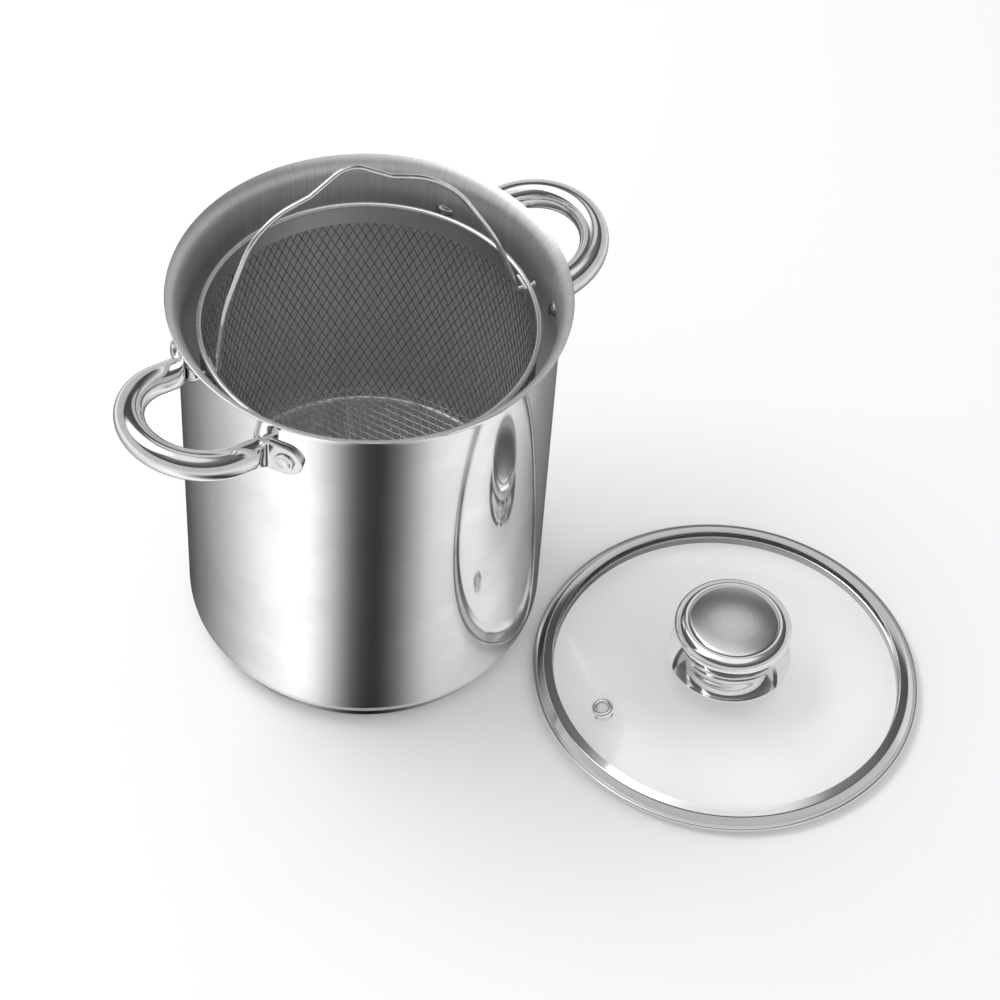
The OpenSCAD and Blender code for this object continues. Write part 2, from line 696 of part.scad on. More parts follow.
module knob_cap() {
  cap_r = knob_cap_d / 2 - knob_t / 2;
  edge = [knob_dome_d / 2, knob_dome_z - knob_t / 2];
  shoulder = [
    edge,
    edge + [1.6, -0.5],
    [cap_r - 1, knob_dome_z - knob_shoulder_h * 0.36],
    [cap_r - 0.2, knob_dome_z - knob_shoulder_h * 0.55],
    [cap_r, knob_dome_z - knob_shoulder_h * 0.75],
    [cap_r - 0.5, knob_rim_z + knob_t / 2],
    [cap_r - 2.2, knob_rim_z + knob_t / 2]
  ];
  color(STEEL) beside_pot() {
    rotate_extrude() sheet_section(shoulder, knob_t);
    intersection() {
      difference() {
        translate([0, 0, knob_top_z - knob_dome_r]) sphere(knob_dome_r);
        translate([0, 0, knob_top_z - knob_dome_r]) sphere(knob_dome_r - knob_t);
      }
      cylinder(d = knob_dome_d, h = through);
    }
  }
}

module knob_base() {
  neck_x = knob_waist_r + knob_neck_r;
  seat_r = knob_cap_d / 2 - 2.6;
  line = concat(
    [[knob_flange_r, knob_flange_z + knob_t / 2]],
    arc_points([neck_x, knob_neck_z], knob_neck_r + knob_t / 2, 270, 90, 16),
    [[seat_r, knob_neck_z + knob_neck_r + knob_t / 2]]);
  color(STEEL) beside_pot() rotate_extrude() sheet_section(line, knob_t);
}

module knob_post() {
  top_z = knob_top_z - knob_t - (knob_dome_r - sqrt(pow(knob_dome_r, 2) - pow(post_d / 2, 2))) - seat_gap;
  bottom_z = glass_top_z + 0.3;
  color(STEEL) beside_pot() difference() {
    translate([0, 0, bottom_z]) cylinder(d = post_d, h = top_z - bottom_z);
    translate([0, 0, bottom_z - past]) cylinder(d = screw_d, h = 12 + past);
  }
}

module knob_screw() {
  color(STEEL) beside_pot() difference() {
    union() {
      translate([0, 0, screw_head_z]) cylinder(d = screw_d, h = glass_top_z + 8 - screw_head_z);
      translate([0, 0, screw_head_z]) mirror([0, 0, 1]) rivet_head(screw_head_d, screw_head_h);
    }
    for (turn = [0, 90]) rotate([0, 0, turn])
      translate([-2.6, -0.55, screw_head_z - screw_head_h - past]) cube([5.2, 1.1, 1.6 + past]);
  }
}

module knob_washer() {
  color(STEEL) beside_pot() difference() {
    translate([0, 0, screw_head_z]) cylinder(d = washer_d, h = washer_t);
    translate([0, 0, screw_head_z - past]) cylinder(d = screw_d, h = washer_t + 2 * past);
  }
}

module knob_upper_seal() {
  inner_r = knob_waist_r + knob_neck_r;
  outer_r = knob_flange_r - 1;
  brim_slope = knob_brim_rise / (knob_flange_r - inner_r);
  color(RUBBER) beside_pot() rotate_extrude() polygon([
    [inner_r, glass_top_z - dome_drop(inner_r) + seat_gap],
    [outer_r, glass_top_z - dome_drop(outer_r) + seat_gap],
    [outer_r, knob_flange_z + brim_slope * (knob_flange_r - outer_r) - seat_gap],
    [inner_r, knob_flange_z + knob_brim_rise - seat_gap]
  ]);
}

module knob_lower_seal() {
  under_z = glass_top_z - glass_t;
  color(RUBBER) beside_pot() difference() {
    union() {
      translate([0, 0, washer_top_z]) cylinder(d = washer_d, h = lower_seal_t - dome_drop(washer_d / 2));
      translate([0, 0, washer_top_z]) cylinder(d = glass_hole_d, h = lower_seal_t + glass_t);
    }
    translate([0, 0, washer_top_z - past]) cylinder(d = screw_d, h = 2 * glass_t + past);
  }
}

pot_shell();
base_core();
base_cap();
handle_right();
handle_left();
rivet(rivet_angle);  // rivet_right_back
rivet(-rivet_angle);  // rivet_right_front
rivet(180 - rivet_angle);  // rivet_left_back
rivet(180 + rivet_angle);  // rivet_left_front
basket_band();
basket_rim_wire();
basket_wall();
basket_floor();
basket_foot_ring();
basket_foot(0);  // basket_foot_1
basket_foot(1);  // basket_foot_2
basket_foot(2);  // basket_foot_3
bail_lug(1);  // bail_lug_right
bail_lug(-1);  // bail_lug_left
bail();
lid_glass();
lid_ring();
vent_eyelet();
knob_cap();
knob_base();
knob_post();
knob_screw();
knob_washer();
knob_upper_seal();
knob_lower_seal();
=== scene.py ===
import math

import bmesh
import bpy
from mathutils import Matrix, Vector


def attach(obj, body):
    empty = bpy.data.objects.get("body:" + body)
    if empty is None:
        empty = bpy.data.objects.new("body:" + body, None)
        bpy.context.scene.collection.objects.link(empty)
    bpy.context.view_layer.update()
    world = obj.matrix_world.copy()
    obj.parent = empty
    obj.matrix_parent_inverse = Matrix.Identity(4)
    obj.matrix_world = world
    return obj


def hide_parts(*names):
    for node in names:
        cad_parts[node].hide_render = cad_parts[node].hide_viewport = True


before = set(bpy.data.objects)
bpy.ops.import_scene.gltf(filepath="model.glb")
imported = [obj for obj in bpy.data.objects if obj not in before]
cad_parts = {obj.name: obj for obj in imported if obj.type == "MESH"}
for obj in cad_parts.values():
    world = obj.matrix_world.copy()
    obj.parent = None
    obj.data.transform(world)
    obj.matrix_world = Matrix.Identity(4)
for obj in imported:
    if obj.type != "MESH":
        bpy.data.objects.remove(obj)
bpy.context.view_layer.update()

# Pot body: one sheet of stainless steel, deep-drawn into a tall cup with a rounded lower corner and an edge
# rolled outwards into a lip. The wall's outside is buffed to a mirror. The inside, the lip and the lower
# corner keep the fine upright strokes of a satin brush.
MM = 0.001
POT_R = 80.8
POT_SHEET = 0.8
POT_FLOOR = 3.0
POT_CORNER = 14.8
BOTTOM_EASE = 1.0
EASE = 0.6
LIP_BEND = 9.0
LIP_TURN = 66
LIP_START = 188.14


def start(add, name, **place):
    """A primitive, alone in the selection."""
    bpy.ops.object.select_all(action="DESELECT")
    add(**place)
    piece = bpy.context.object
    piece.name = name
    piece.data.name = name
    return piece


def arc(centre, radius, first, last, steps):
    """Points of a circle in a plane, from one angle to another in degrees."""
    angles = [math.radians(first + (last - first) * i / steps) for i in range(steps + 1)]
    return [(centre[0] + radius * math.cos(a), centre[1] + radius * math.sin(a)) for a in angles]


def spin_round(piece, steps, sharp):
    """Spins the open edge of a half section round the upright axis and closes it into a solid."""
    bpy.ops.mesh.select_all(action="SELECT")
    bpy.ops.mesh.spin(steps=steps, angle=math.tau, center=(0, 0, 0), axis=(0, 0, 1))
    bpy.ops.mesh.select_all(action="SELECT")
    bpy.ops.mesh.remove_doubles(threshold=0.001 * MM)
    bpy.ops.mesh.normals_make_consistent(inside=False)
    bpy.ops.object.mode_set(mode="OBJECT")
    bpy.ops.object.shade_smooth_by_angle(angle=math.radians(sharp))
    return piece


def draw_line(name, points):
    """A line of vertices at points in mm, each extruded from the one before, left in edit mode."""
    line = start(bpy.ops.mesh.primitive_plane_add, name, size=MM)
    bpy.ops.object.mode_set(mode="EDIT")
    bpy.ops.mesh.merge(type="CENTER")
    spots = [Vector(p) * MM for p in points]
    bpy.ops.transform.translate(value=spots[0])
    for here, there in zip(spots, spots[1:]):
        bpy.ops.mesh.extrude_vertices_move(TRANSFORM_OT_translate={"value": there - here})
    return line


def turned(name, section, steps=256, sharp=35):
    """A solid of revolution from its closed half section of (radius, height) points."""
    return spin_round(draw_line(name, [(r, 0, z) for r, z in section]), steps, sharp)


# Each straight stretch ends a little short of its bend, so that it still looks straight when shaded smooth.
corner = (POT_R - POT_CORNER, POT_FLOOR + POT_CORNER)
bottom_r = corner[0] - BOTTOM_EASE
wall_low = corner[1] + EASE
wall_high = LIP_START - EASE
lip = (POT_R - POT_SHEET + LIP_BEND, LIP_START)
lip_mid = LIP_BEND - POT_SHEET / 2
lip_way = math.radians(180 - LIP_TURN)
lip_end = (lip[0] + lip_mid * math.cos(lip_way), lip[1] + lip_mid * math.sin(lip_way))
pot_section = (
    [(0, POT_FLOOR), (bottom_r, POT_FLOOR)]
    + arc(corner, POT_CORNER, -90, 0, 20)
    + [(POT_R, wall_low), (POT_R, wall_high)]
    + arc(lip, LIP_BEND - POT_SHEET, 180, 180 - LIP_TURN, 14)
    + arc(lip_end, POT_SHEET / 2, 360 - LIP_TURN, 180 - LIP_TURN, 8)[1:-1]
    + arc(lip, LIP_BEND, 180 - LIP_TURN, 180, 16)
    + [(POT_R - POT_SHEET, wall_high), (POT_R - POT_SHEET, wall_low)]
    + arc(corner, POT_CORNER - POT_SHEET, 0, -90, 16)
    + [(bottom_r, POT_FLOOR + POT_SHEET), (0, POT_FLOOR + POT_SHEET)]
)
pot = turned("pot_body", pot_section)


def node(tree, kind, inputs=None, **settings):
    """A shader node with its settings, values and links."""
    made = tree.nodes.new(kind)
    for key, value in settings.items():
        setattr(made, key, value)
    for key, value in (inputs or {}).items():
        if isinstance(value, bpy.types.NodeSocket):
            tree.links.new(value, made.inputs[key])
        else:
            made.inputs[key].default_value = value
    return made


def maths(tree, operation, *values, clamp=False):
    """The result of one arithmetic step on its values."""
    step = node(tree, "ShaderNodeMath", dict(enumerate(values)), operation=operation, use_clamp=clamp)
    return step.outputs[0]


def shader_group(name, inputs, outputs):
    """An empty node group with its sockets, and its two end nodes."""
    group = bpy.data.node_groups.new(name, "ShaderNodeTree")
    for label, kind, value in inputs:
        socket = group.interface.new_socket(name=label, in_out="INPUT", socket_type=kind)
        if value is not None:
            socket.default_value = value
    for label in outputs:
        group.interface.new_socket(name=label, in_out="OUTPUT", socket_type="NodeSocketFloat")
    return group, group.nodes.new("NodeGroupInput"), group.nodes.new("NodeGroupOutput")


def satin_brush():
    """Fine strokes that a satin brush leaves: rings where Lines is high, upright ones where Reach is."""
    group, given, put = shader_group(
        "satin_brush",
        [
            ("Vector", "NodeSocketVector", None),
            ("Lines", "NodeSocketFloat", 900.0),
            ("Reach", "NodeSocketFloat", 2.0),
        ],
        ["Mask"],
    )
    place = node(group, "ShaderNodeSeparateXYZ", {0: given.outputs["Vector"]})
    flat = node(group, "ShaderNodeCombineXYZ", {"X": place.outputs["X"], "Y": place.outputs["Y"]})
    far = node(group, "ShaderNodeVectorMath", {0: flat.outputs[0]}, operation="LENGTH")
    along = node(group, "ShaderNodeVectorMath", {0: flat.outputs[0]}, operation="NORMALIZE")
    reach = {0: along.outputs[0], "Scale": given.outputs["Reach"]}
    spread = node(group, "ShaderNodeVectorMath", reach, operation="SCALE")
    across = maths(group, "ADD", far.outputs["Value"], place.outputs["Z"])
    lines = maths(group, "MULTIPLY", across, given.outputs["Lines"])
    parts = node(group, "ShaderNodeSeparateXYZ", {0: spread.outputs[0]})
    sides = {"X": parts.outputs["X"], "Y": parts.outputs["Y"], "Z": lines}
    grid = node(group, "ShaderNodeCombineXYZ", sides)
    grain = {"Vector": grid.outputs[0], "Scale": 1.0, "Detail": 3.0, "Roughness": 0.65}
    noise = node(group, "ShaderNodeTexNoise", grain)
    group.links.new(noise.outputs["Fac"], put.inputs["Mask"])
    return group


def soft_marks():
    """Faint cloudy marks that wiping leaves on a smooth surface."""
    group, given, put = shader_group(
        "soft_marks",
        [("Vector", "NodeSocketVector", None), ("Scale", "NodeSocketFloat", 30.0)],
        ["Mask"],
    )
    clouds = {"Vector": given.outputs["Vector"], "Scale": given.outputs["Scale"]}
    noise = node(group, "ShaderNodeTexNoise", clouds | {"Detail": 4.0, "Roughness": 0.6})
    patches = {"Value": noise.outputs["Fac"], "From Min": 0.35, "From Max": 0.7}
    level = node(group, "ShaderNodeMapRange", patches)
    group.links.new(level.outputs[0], put.inputs["Mask"])
    return group


SATIN_BRUSH = satin_brush()
SOFT_MARKS = soft_marks()


def steel(
    name, dark, light, rough, centre=(0, 0), lines=None, reach=2.0, marks=30.0, stretch=0.0, metal=1.0
):
    """A steel whose colour and roughness follow its brush strokes, or its wipe marks where it has none."""
    made = bpy.data.materials.new(name)
    made.use_nodes = True
    tree = made.node_tree
    shader = tree.nodes["Principled BSDF"]
    shader.inputs["Metallic"].default_value = metal
    spot = node(tree, "ShaderNodeTexCoord")
    middle = node(tree, "ShaderNodeMapping", {"Vector": spot.outputs["Object"]})
    middle.inputs["Location"].default_value = (-centre[0] * MM, -centre[1] * MM, 0)
    if lines:
        pattern = node(tree, "ShaderNodeGroup", node_tree=SATIN_BRUSH)
        pattern.inputs["Lines"].default_value = lines
        pattern.inputs["Reach"].default_value = reach
    else:
        pattern = node(tree, "ShaderNodeGroup", node_tree=SOFT_MARKS)
        pattern.inputs["Scale"].default_value = marks
    tree.links.new(middle.outputs[0], pattern.inputs["Vector"])
    mask = pattern.outputs["Mask"]
    colour = node(tree, "ShaderNodeValToRGB", {"Fac": mask})
    colour.color_ramp.elements[0].position = 0.3
    colour.color_ramp.elements[1].position = 0.7
    colour.color_ramp.elements[0].color = (*dark, 1)
    colour.color_ramp.elements[1].color = (*light, 1)
    tree.links.new(colour.outputs[0], shader.inputs["Base Color"])
    level = node(tree, "ShaderNodeMapRange", {"Value": mask, "To Min": rough[0], "To Max": rough[1]})
    tree.links.new(level.outputs[0], shader.inputs["Roughness"])
    if stretch:
        shader.inputs["Anisotropic"].default_value = stretch
        shader.inputs["Anisotropic Rotation"].default_value = 0.25
        tangent = node(tree, "ShaderNodeTangent", direction_type="RADIAL", axis="Z")
        tree.links.new(tangent.outputs[0], shader.inputs["Tangent"])
    return made


MIRROR = steel("mirror_steel", (0.84, 0.84, 0.84), (0.90, 0.90, 0.90), (0.05, 0.08), marks=25.0)
SATIN = steel(
    "satin_steel",
    (0.72, 0.705, 0.71),
    (0.90, 0.88, 0.885),
    (0.30, 0.42),
    lines=14.0,
    reach=130.0,
    stretch=0.8,
)
# Below the lip the satin turns less metallic, and so more matt, towards the bottom by height alone: painted
# light standing in for how the deep inside is lit, not wear.
tree = SATIN.node_tree
spot = node(tree, "ShaderNodeTexCoord")
height = node(tree, "ShaderNodeSeparateXYZ", {0: spot.outputs["Object"]})
deep = {"Value": height.outputs["Z"], "From Min": 0.11, "From Max": 0.17, "To Min": 0.38, "To Max": 0.97}
deep_painted_light = node(tree, "ShaderNodeMapRange", deep)
tree.links.new(deep_painted_light.outputs[0], tree.nodes["Principled BSDF"].inputs["Metallic"])
pot.data.materials.append(MIRROR)
pot.data.materials.append(SATIN)
for face in pot.data.polygons:
    middle = face.center / MM
    reach = math.hypot(middle.x, middle.y)
    within_wall = reach < POT_R - POT_SHEET / 2 and middle.z > POT_FLOOR + POT_SHEET / 2
    off_bend = math.hypot(reach - lip[0], middle.z - lip[1])
    on_lip = middle.z > LIP_START and off_bend > lip_mid
    face.material_index = 1 if within_wall or on_lip else 0
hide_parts("pot_shell")
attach(pot, "pot")

# Capped base: a thick aluminium disc brazed under the pot to spread the heat, and a pressed steel cap that
# closes it in. The cap's rim stops just short of the pot's rounded corner and leaves a thin seam, which is
# dark from painted shade on the disc below.
CAP_R = 73.6
CAP_SHEET = 0.5
CAP_EDGE = 1.2
CAP_TOP = 4.1
CAP_RIM = 0.25
CAP_EASE = 0.4
cap_section = (
    [(0, 0), (CAP_R - CAP_EDGE - EASE, 0)]
    + arc((CAP_R - CAP_EDGE, CAP_EDGE), CAP_EDGE, -90, 0, 8)
    + [(CAP_R, CAP_EDGE + CAP_EASE), (CAP_R, CAP_TOP - CAP_EASE)]
    + arc((CAP_R - CAP_RIM, CAP_TOP - CAP_RIM), CAP_RIM, 0, 90, 4)
    + [(CAP_R - CAP_SHEET, CAP_TOP), (CAP_R - CAP_SHEET, CAP_EDGE)]
    + [(CAP_R - CAP_EDGE, CAP_SHEET), (0, CAP_SHEET)]
)
cap = turned("base_cap_shell", cap_section)
CAP = steel("pressed_cap", (0.40, 0.40, 0.40), (0.50, 0.50, 0.50), (0.12, 0.18), marks=40.0)
cap.data.materials.append(CAP)
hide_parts("base_cap")
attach(cap, "pot")


def dress(name, material):
    """Gives a CAD solid that stays its finish."""
    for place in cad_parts[name].material_slots:
        place.material = material


# The disc is coloured near black, far darker than aluminium, so that the seam shows dark: painted shade.
SEAM_SHADE_CORE = steel("aluminium_painted_seam_shade", (0.10, 0.10, 0.105), (0.16, 0.16, 0.165), (0.45, 0.6), marks=180.0)
dress("base_core", SEAM_SHADE_CORE)

# Handles: stainless tube bent into a half-round loop and buffed to a mirror, its two ends pinched flat into
# ears that lie against the wall. One rivet holds each ear.
TUBE_R = 6.35
HANDLE_REACH = 116.2
HANDLE_HALF = 28.0
HANDLE_TILT = 10
HANDLE_TURN = 4.4
ROOT_R = 85.0
RIVET_Z = 173.0
RIVET_ANGLE = 28.02
EAR_START = 23.2
EAR_T = 2.0
EAR_HALF = 7.7
EAR_SEAT = 0.02
EAR_LEAD = 2.8
EAR_MARGIN = 0.3
EAR_TIP = 0.995
DENT = 0.5
PINCH = 3.0
PINCH_PULL = 1.2
SIDES = 48


def bent(corners, step=5):
    """Points along a flat line of (x, y, bend radius) corners, with each bend as an arc."""
    spots = [Vector(c[:2]) for c in corners]
    line = [spots[0]]
    for i in range(1, len(spots) - 1):
        come, go = (spots[i] - spots[i - 1]).normalized(), (spots[i + 1] - spots[i]).normalized()
        turn = math.atan2(come.x * go.y - come.y * go.x, come.dot(go))
        radius = corners[i][2]
        first = spots[i] - come * radius * math.tan(abs(turn) / 2)
        side = Vector((-come.y, come.x)) * math.copysign(1, turn)
        centre = first + side * radius
        count = max(2, round(abs(math.degrees(turn)) / step))
        for k in range(count + 1):
            angle = turn * k / count
            line.append(centre - Matrix.Rotation(angle, 2) @ side * radius)
    return line + [spots[-1]]


def loft(name, rings, sharp=40):
    """A closed solid through rings of points, in mm."""
    piece = start(bpy.ops.mesh.primitive_circle_add, name, vertices=len(rings[0]), radius=MM)
    build = bmesh.new()
    loops = [[build.verts.new(Vector(p) * MM) for p in ring] for ring in rings]
    for a, b in zip(loops, loops[1:]):
        for i in range(len(a)):
            j = (i + 1) % len(a)
            build.faces.new((a[i], a[j], b[j], b[i]))
    build.faces.new(list(reversed(loops[0])))
    build.faces.new(loops[-1])
    bmesh.ops.recalc_face_normals(build, faces=build.faces)
    build.to_mesh(piece.data)
    build.free()
    bpy.ops.object.shade_smooth_by_angle(angle=math.radians(sharp))
    return piece


def ring_points(centre, wide, high, half_wide, half_high, power=2.0, dent=0.0):
    """A ring whose outline goes from round to flat as its power rises, with its outer side pressed in."""
    points = []
    for i in range(SIDES):
        a = math.tau * (i + 0.5) / SIDES
        c, s = math.cos(a), math.sin(a)
        x = half_wide * math.copysign(abs(c) ** (2 / power), c)
        y = half_high * math.copysign(abs(s) ** (2 / power), s)
        if c > 0:
            x -= dent * math.exp(-((y / half_high / 0.4) ** 2))
        points.append(centre + wide * x + high * y)
    return points


def smooth(t):
    """A way from 0 to 1 that starts and ends gently."""
    return t * t * (3 - 2 * t)


root_x = math.sqrt(ROOT_R**2 - HANDLE_HALF**2)
leg = (HANDLE_REACH - root_x) / math.cos(math.radians(HANDLE_TILT)) - HANDLE_HALF
tilt = Matrix.Rotation(-math.radians(HANDLE_TILT), 3, "Y")
root = Vector((root_x, 0, RIVET_Z))
upward = Vector((0, 0, 1))
loop = [Vector((PINCH + (leg - PINCH) * k / 2, -HANDLE_HALF)) for k in range(2)]
loop += [Vector(p) for p in arc((leg, 0), HANDLE_HALF, -90, 90, 60)]
loop += [Vector((PINCH + (leg - PINCH) * k / 2, HANDLE_HALF)) for k in (1, 0)]
tube = []
for i, spot in enumerate(loop):
    ahead, behind = loop[min(i + 1, len(loop) - 1)], loop[max(i - 1, 0)]
    along = (ahead - behind).normalized()
    centre = root + tilt @ Vector((spot.x, spot.y, 0))
    outward = tilt @ Vector((along.y, -along.x, 0))
    tube.append(ring_points(centre, outward, tilt @ upward, TUBE_R, TUBE_R))

# The pinched end follows a Bezier curve through its guide points and goes from the tube's round to the ear.
pinch = []
turn_in = math.radians(EAR_START)
ear_mid = POT_R + EAR_SEAT + EAR_T / 2
ear_at = Vector((ear_mid * math.cos(turn_in), ear_mid * math.sin(turn_in)))
round_wall = Vector((-math.sin(turn_in), math.cos(turn_in)))
guide = [
    Vector((root_x + PINCH, HANDLE_HALF)),
    Vector((root_x - PINCH_PULL, HANDLE_HALF)),
    ear_at - round_wall * EAR_LEAD,
    ear_at,
]
for k in range(1, 21):
    t = k / 20
    s = smooth(t)
    w = [(1 - t) ** 3, 3 * t * (1 - t) ** 2, 3 * t * t * (1 - t), t**3]
    v = [-3 * (1 - t) ** 2, 3 * (1 - t) * (1 - 3 * t), 3 * t * (2 - 3 * t), 3 * t * t]
    spot = sum((g * f for g, f in zip(guide, w)), Vector((0, 0)))
    path = sum((g * f for g, f in zip(guide, v)), Vector((0, 0))).normalized()
    lean = Matrix.Rotation(-math.radians(HANDLE_TILT) * (1 - s), 3, "Y")
    outward = lean @ Vector((path.y, -path.x, 0))
    rise = (spot.x - root_x) * math.tan(math.radians(HANDLE_TILT)) * (1 - s)
    dent = DENT * math.sin(math.pi * t) ** 2
    half = TUBE_R + (EAR_T / 2 - TUBE_R) * s
    high = TUBE_R + (EAR_HALF - TUBE_R) * s**3
    centre = Vector((spot.x, spot.y, RIVET_Z + rise))
    ring = ring_points(centre, outward, lean @ upward, half, high, 2 + 4 * s, dent)
    for point in ring:
        point.xy *= max(1.0, (POT_R + EAR_SEAT) / point.xy.length)
    pinch.append(ring)

# The ear is straight up to the rivet and half round beyond it, bent to the wall.
ear = []
to_rivet = math.radians(RIVET_ANGLE - EAR_START) * POT_R
steps = [to_rivet * k / 4 for k in (1, 2, 3)]
steps += [to_rivet + EAR_HALF * math.sin(math.pi / 2 * k / 14) * EAR_TIP for k in range(15)]
for along in steps:
    around = turn_in + along / (POT_R + EAR_T / 2)
    high = EAR_HALF * math.sqrt(max(0.0, 1 - (max(0, along - to_rivet) / EAR_HALF) ** 2))
    outward = Vector((math.cos(around), math.sin(around), 0))
    centre = outward * ear_mid + upward * RIVET_Z
    ear.append(ring_points(centre, outward, upward, EAR_T / 2, high, 6))
near_end = pinch + ear
far_end = [[Vector((p.x, -p.y, p.z)) for p in ring] for ring in reversed(near_end)]
handle_right = loft("handle_tube_right", far_end + tube + near_end)
TUBE = steel("buffed_tube", (0.74, 0.735, 0.735), (0.81, 0.805, 0.805), (0.06, 0.12), marks=60.0)
# The ears are the tube's own steel coloured darker than the tube: painted shade.
SHADED_EAR = steel("pressed_ear_painted_shade", (0.62, 0.62, 0.62), (0.70, 0.70, 0.70), (0.16, 0.22), marks=60.0)
handle_right.data.materials.append(TUBE)
handle_right.data.materials.append(SHADED_EAR)
for face in handle_right.data.polygons:
    middle = face.center / MM
    on_wall = math.hypot(middle.x, middle.y) < POT_R + EAR_T + EAR_MARGIN
    face.material_index = 1 if on_wall and abs(middle.y) > ear_at.y else 0
bpy.ops.object.select_all(action="DESELECT")
handle_right.select_set(True)
bpy.ops.object.duplicate()
handle_left = bpy.context.object
handle_left.name = "handle_tube_left"
for piece, name, angle in (
    (handle_right, "handle_right", HANDLE_TURN),
    (handle_left, "handle_left", HANDLE_TURN + 180),
):
    piece.data.transform(Matrix.Rotation(math.radians(angle), 4, "Z"))
    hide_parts(name)
    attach(piece, "pot")

# Rivets: solid steel, pushed through ear and wall from outside and headed in a press. The outer head is a
# low step with a domed middle, the inner head a plain dome.
HEAD_R = 4.4
HEAD_H = 1.7
HEAD_TAPER = 0.1
HEAD_EDGE = 0.5
HEAD_EDGE_Z = 0.45
HEAD_STEP = [(3.1, 1.02), (2.95, 1.2)]
BOSS_R = 2.8
BOSS_Z = 1.25
HEAD_SINK = 0.4
INNER_R = 4.7
INNER_H = 2.4
outer_head = [(0, -HEAD_SINK), (HEAD_R - HEAD_TAPER, -HEAD_SINK), (HEAD_R, HEAD_TAPER)]
outer_head += arc((HEAD_R - HEAD_EDGE, HEAD_EDGE_Z), HEAD_EDGE, 0, 80, 5) + HEAD_STEP
for k in range(7):
    share = 1 - k / 6
    outer_head.append((BOSS_R * share, BOSS_Z + (HEAD_H - BOSS_Z) * (1 - share**2)))
ball = (INNER_R**2 + INNER_H**2) / (2 * INNER_H)
edge = math.degrees(math.asin(INNER_R / ball))
inner_head = [(0, -HEAD_SINK), (INNER_R, -HEAD_SINK)]
inner_head += arc((0, INNER_H - ball), ball, 90 - edge, 90, 10)
RIVET = steel("headed_rivet", (0.64, 0.64, 0.64), (0.74, 0.74, 0.73), (0.14, 0.22), marks=250.0)
for name, angle in (
    ("rivet_right_back", RIVET_ANGLE),
    ("rivet_right_front", -RIVET_ANGLE),
    ("rivet_left_back", 180 - RIVET_ANGLE),
    ("rivet_left_front", 180 + RIVET_ANGLE),
):
    around = Matrix.Rotation(math.radians(angle + HANDLE_TURN), 4, "Z")
    around @= Matrix.Translation((0, 0, RIVET_Z * MM))
    heads = []
    for section, reach, side in ((outer_head, POT_R + EAR_T, 1), (inner_head, POT_R - POT_SHEET, -1)):
        head = turned(name + "_head", section, 48)
        stand = Matrix.Translation((reach * MM, 0, 0)) @ Matrix.Rotation(side * math.pi / 2, 4, "Y")
        head.matrix_world = around @ stand
        bpy.ops.object.transform_apply(location=True, rotation=True, scale=True)
        heads.append(head)
    heads[0].select_set(True)
    bpy.context.view_layer.objects.active = heads[0]
    bpy.ops.object.join()
    rivet = bpy.context.object
    rivet.name = name + "_heads"
    rivet.data.materials.append(RIVET)
    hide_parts(name)
    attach(rivet, "pot")

# Basket band: a strip of satin steel welded into a hoop, which the cloth hangs under. Its top edge is curled
# outwards round a wire, which makes the bright bead.
BAND_R = 70.6
BAND_SHEET = 0.5
RIM_Z = 178.4
BAND_LOW = 168.9
CURL_R = 1.3
CURL_IN = 0.84
CURL_END = -120
CURL_EASE = 0.7
WALL_EASE = 0.5
FOOT_EASE = 0.4
HINGE_Z = 174.0
HINGE_HOLE_R = 1.32
TURN = -11.5
rim = (BAND_R + CURL_R, RIM_Z)
band_out = BAND_R + BAND_SHEET
band_section = (
    [(BAND_R, BAND_LOW), (band_out, BAND_LOW), (band_out, RIM_Z - CURL_EASE)]
    + arc(rim, CURL_IN, 180, CURL_END, 20)
    + arc(rim, CURL_R, CURL_END, 180, 26)
    + [(BAND_R, RIM_Z - WALL_EASE), (BAND_R, BAND_LOW + FOOT_EASE), (BAND_R, BAND_LOW)]
)
band = turned("basket_band_hoop", band_section, 240, 50)
BAND = steel(
    "rolled_band",
    (0.74, 0.73, 0.735),
    (0.86, 0.85, 0.855),
    (0.20, 0.30),
    lines=14.0,
    reach=130.0,
    stretch=0.7,
)
band.data.materials.append(BAND)
basket_turn = Matrix.Rotation(math.radians(TURN), 3, "Z")
drill = start(
    bpy.ops.mesh.primitive_cylinder_add,
    "hinge_drill",
    vertices=32,
    radius=HINGE_HOLE_R * MM,
    depth=3 * BAND_R * MM,
    location=(0, 0, HINGE_Z * MM),
    rotation=(0, math.pi / 2, math.radians(TURN)),
)


def cut(piece, tool):
    """Cuts one closed shape out of another."""
    bpy.ops.object.select_all(action="DESELECT")
    piece.select_set(True)
    bpy.context.view_layer.objects.active = piece
    step = piece.modifiers.new("cut", "BOOLEAN")
    step.operation = "DIFFERENCE"
    step.solver = "EXACT"
    step.object = tool
    bpy.ops.object.modifier_apply(modifier=step.name)


cut(band, drill)
bpy.data.objects.remove(drill)
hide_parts("basket_band")
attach(band, "pot")
WIRE = steel("drawn_wire", (0.70, 0.69, 0.695), (0.82, 0.81, 0.81), (0.14, 0.24), marks=300.0)
dress("basket_rim_wire", WIRE)

# Basket wall: woven stainless wire cloth with long diamond openings, rolled into a tube and spot-welded
# outside the band. Each wire goes over one and under the next where it crosses the others.
CLOTH_R = 71.5
CLOTH_WIRE = 0.44
CLOTH_WAVE = 0.12
CLOTH_LOW = 57.3
CLOTH_HIGH = 172.0
CLOTH_COUNT = 115
CROSSINGS = 28


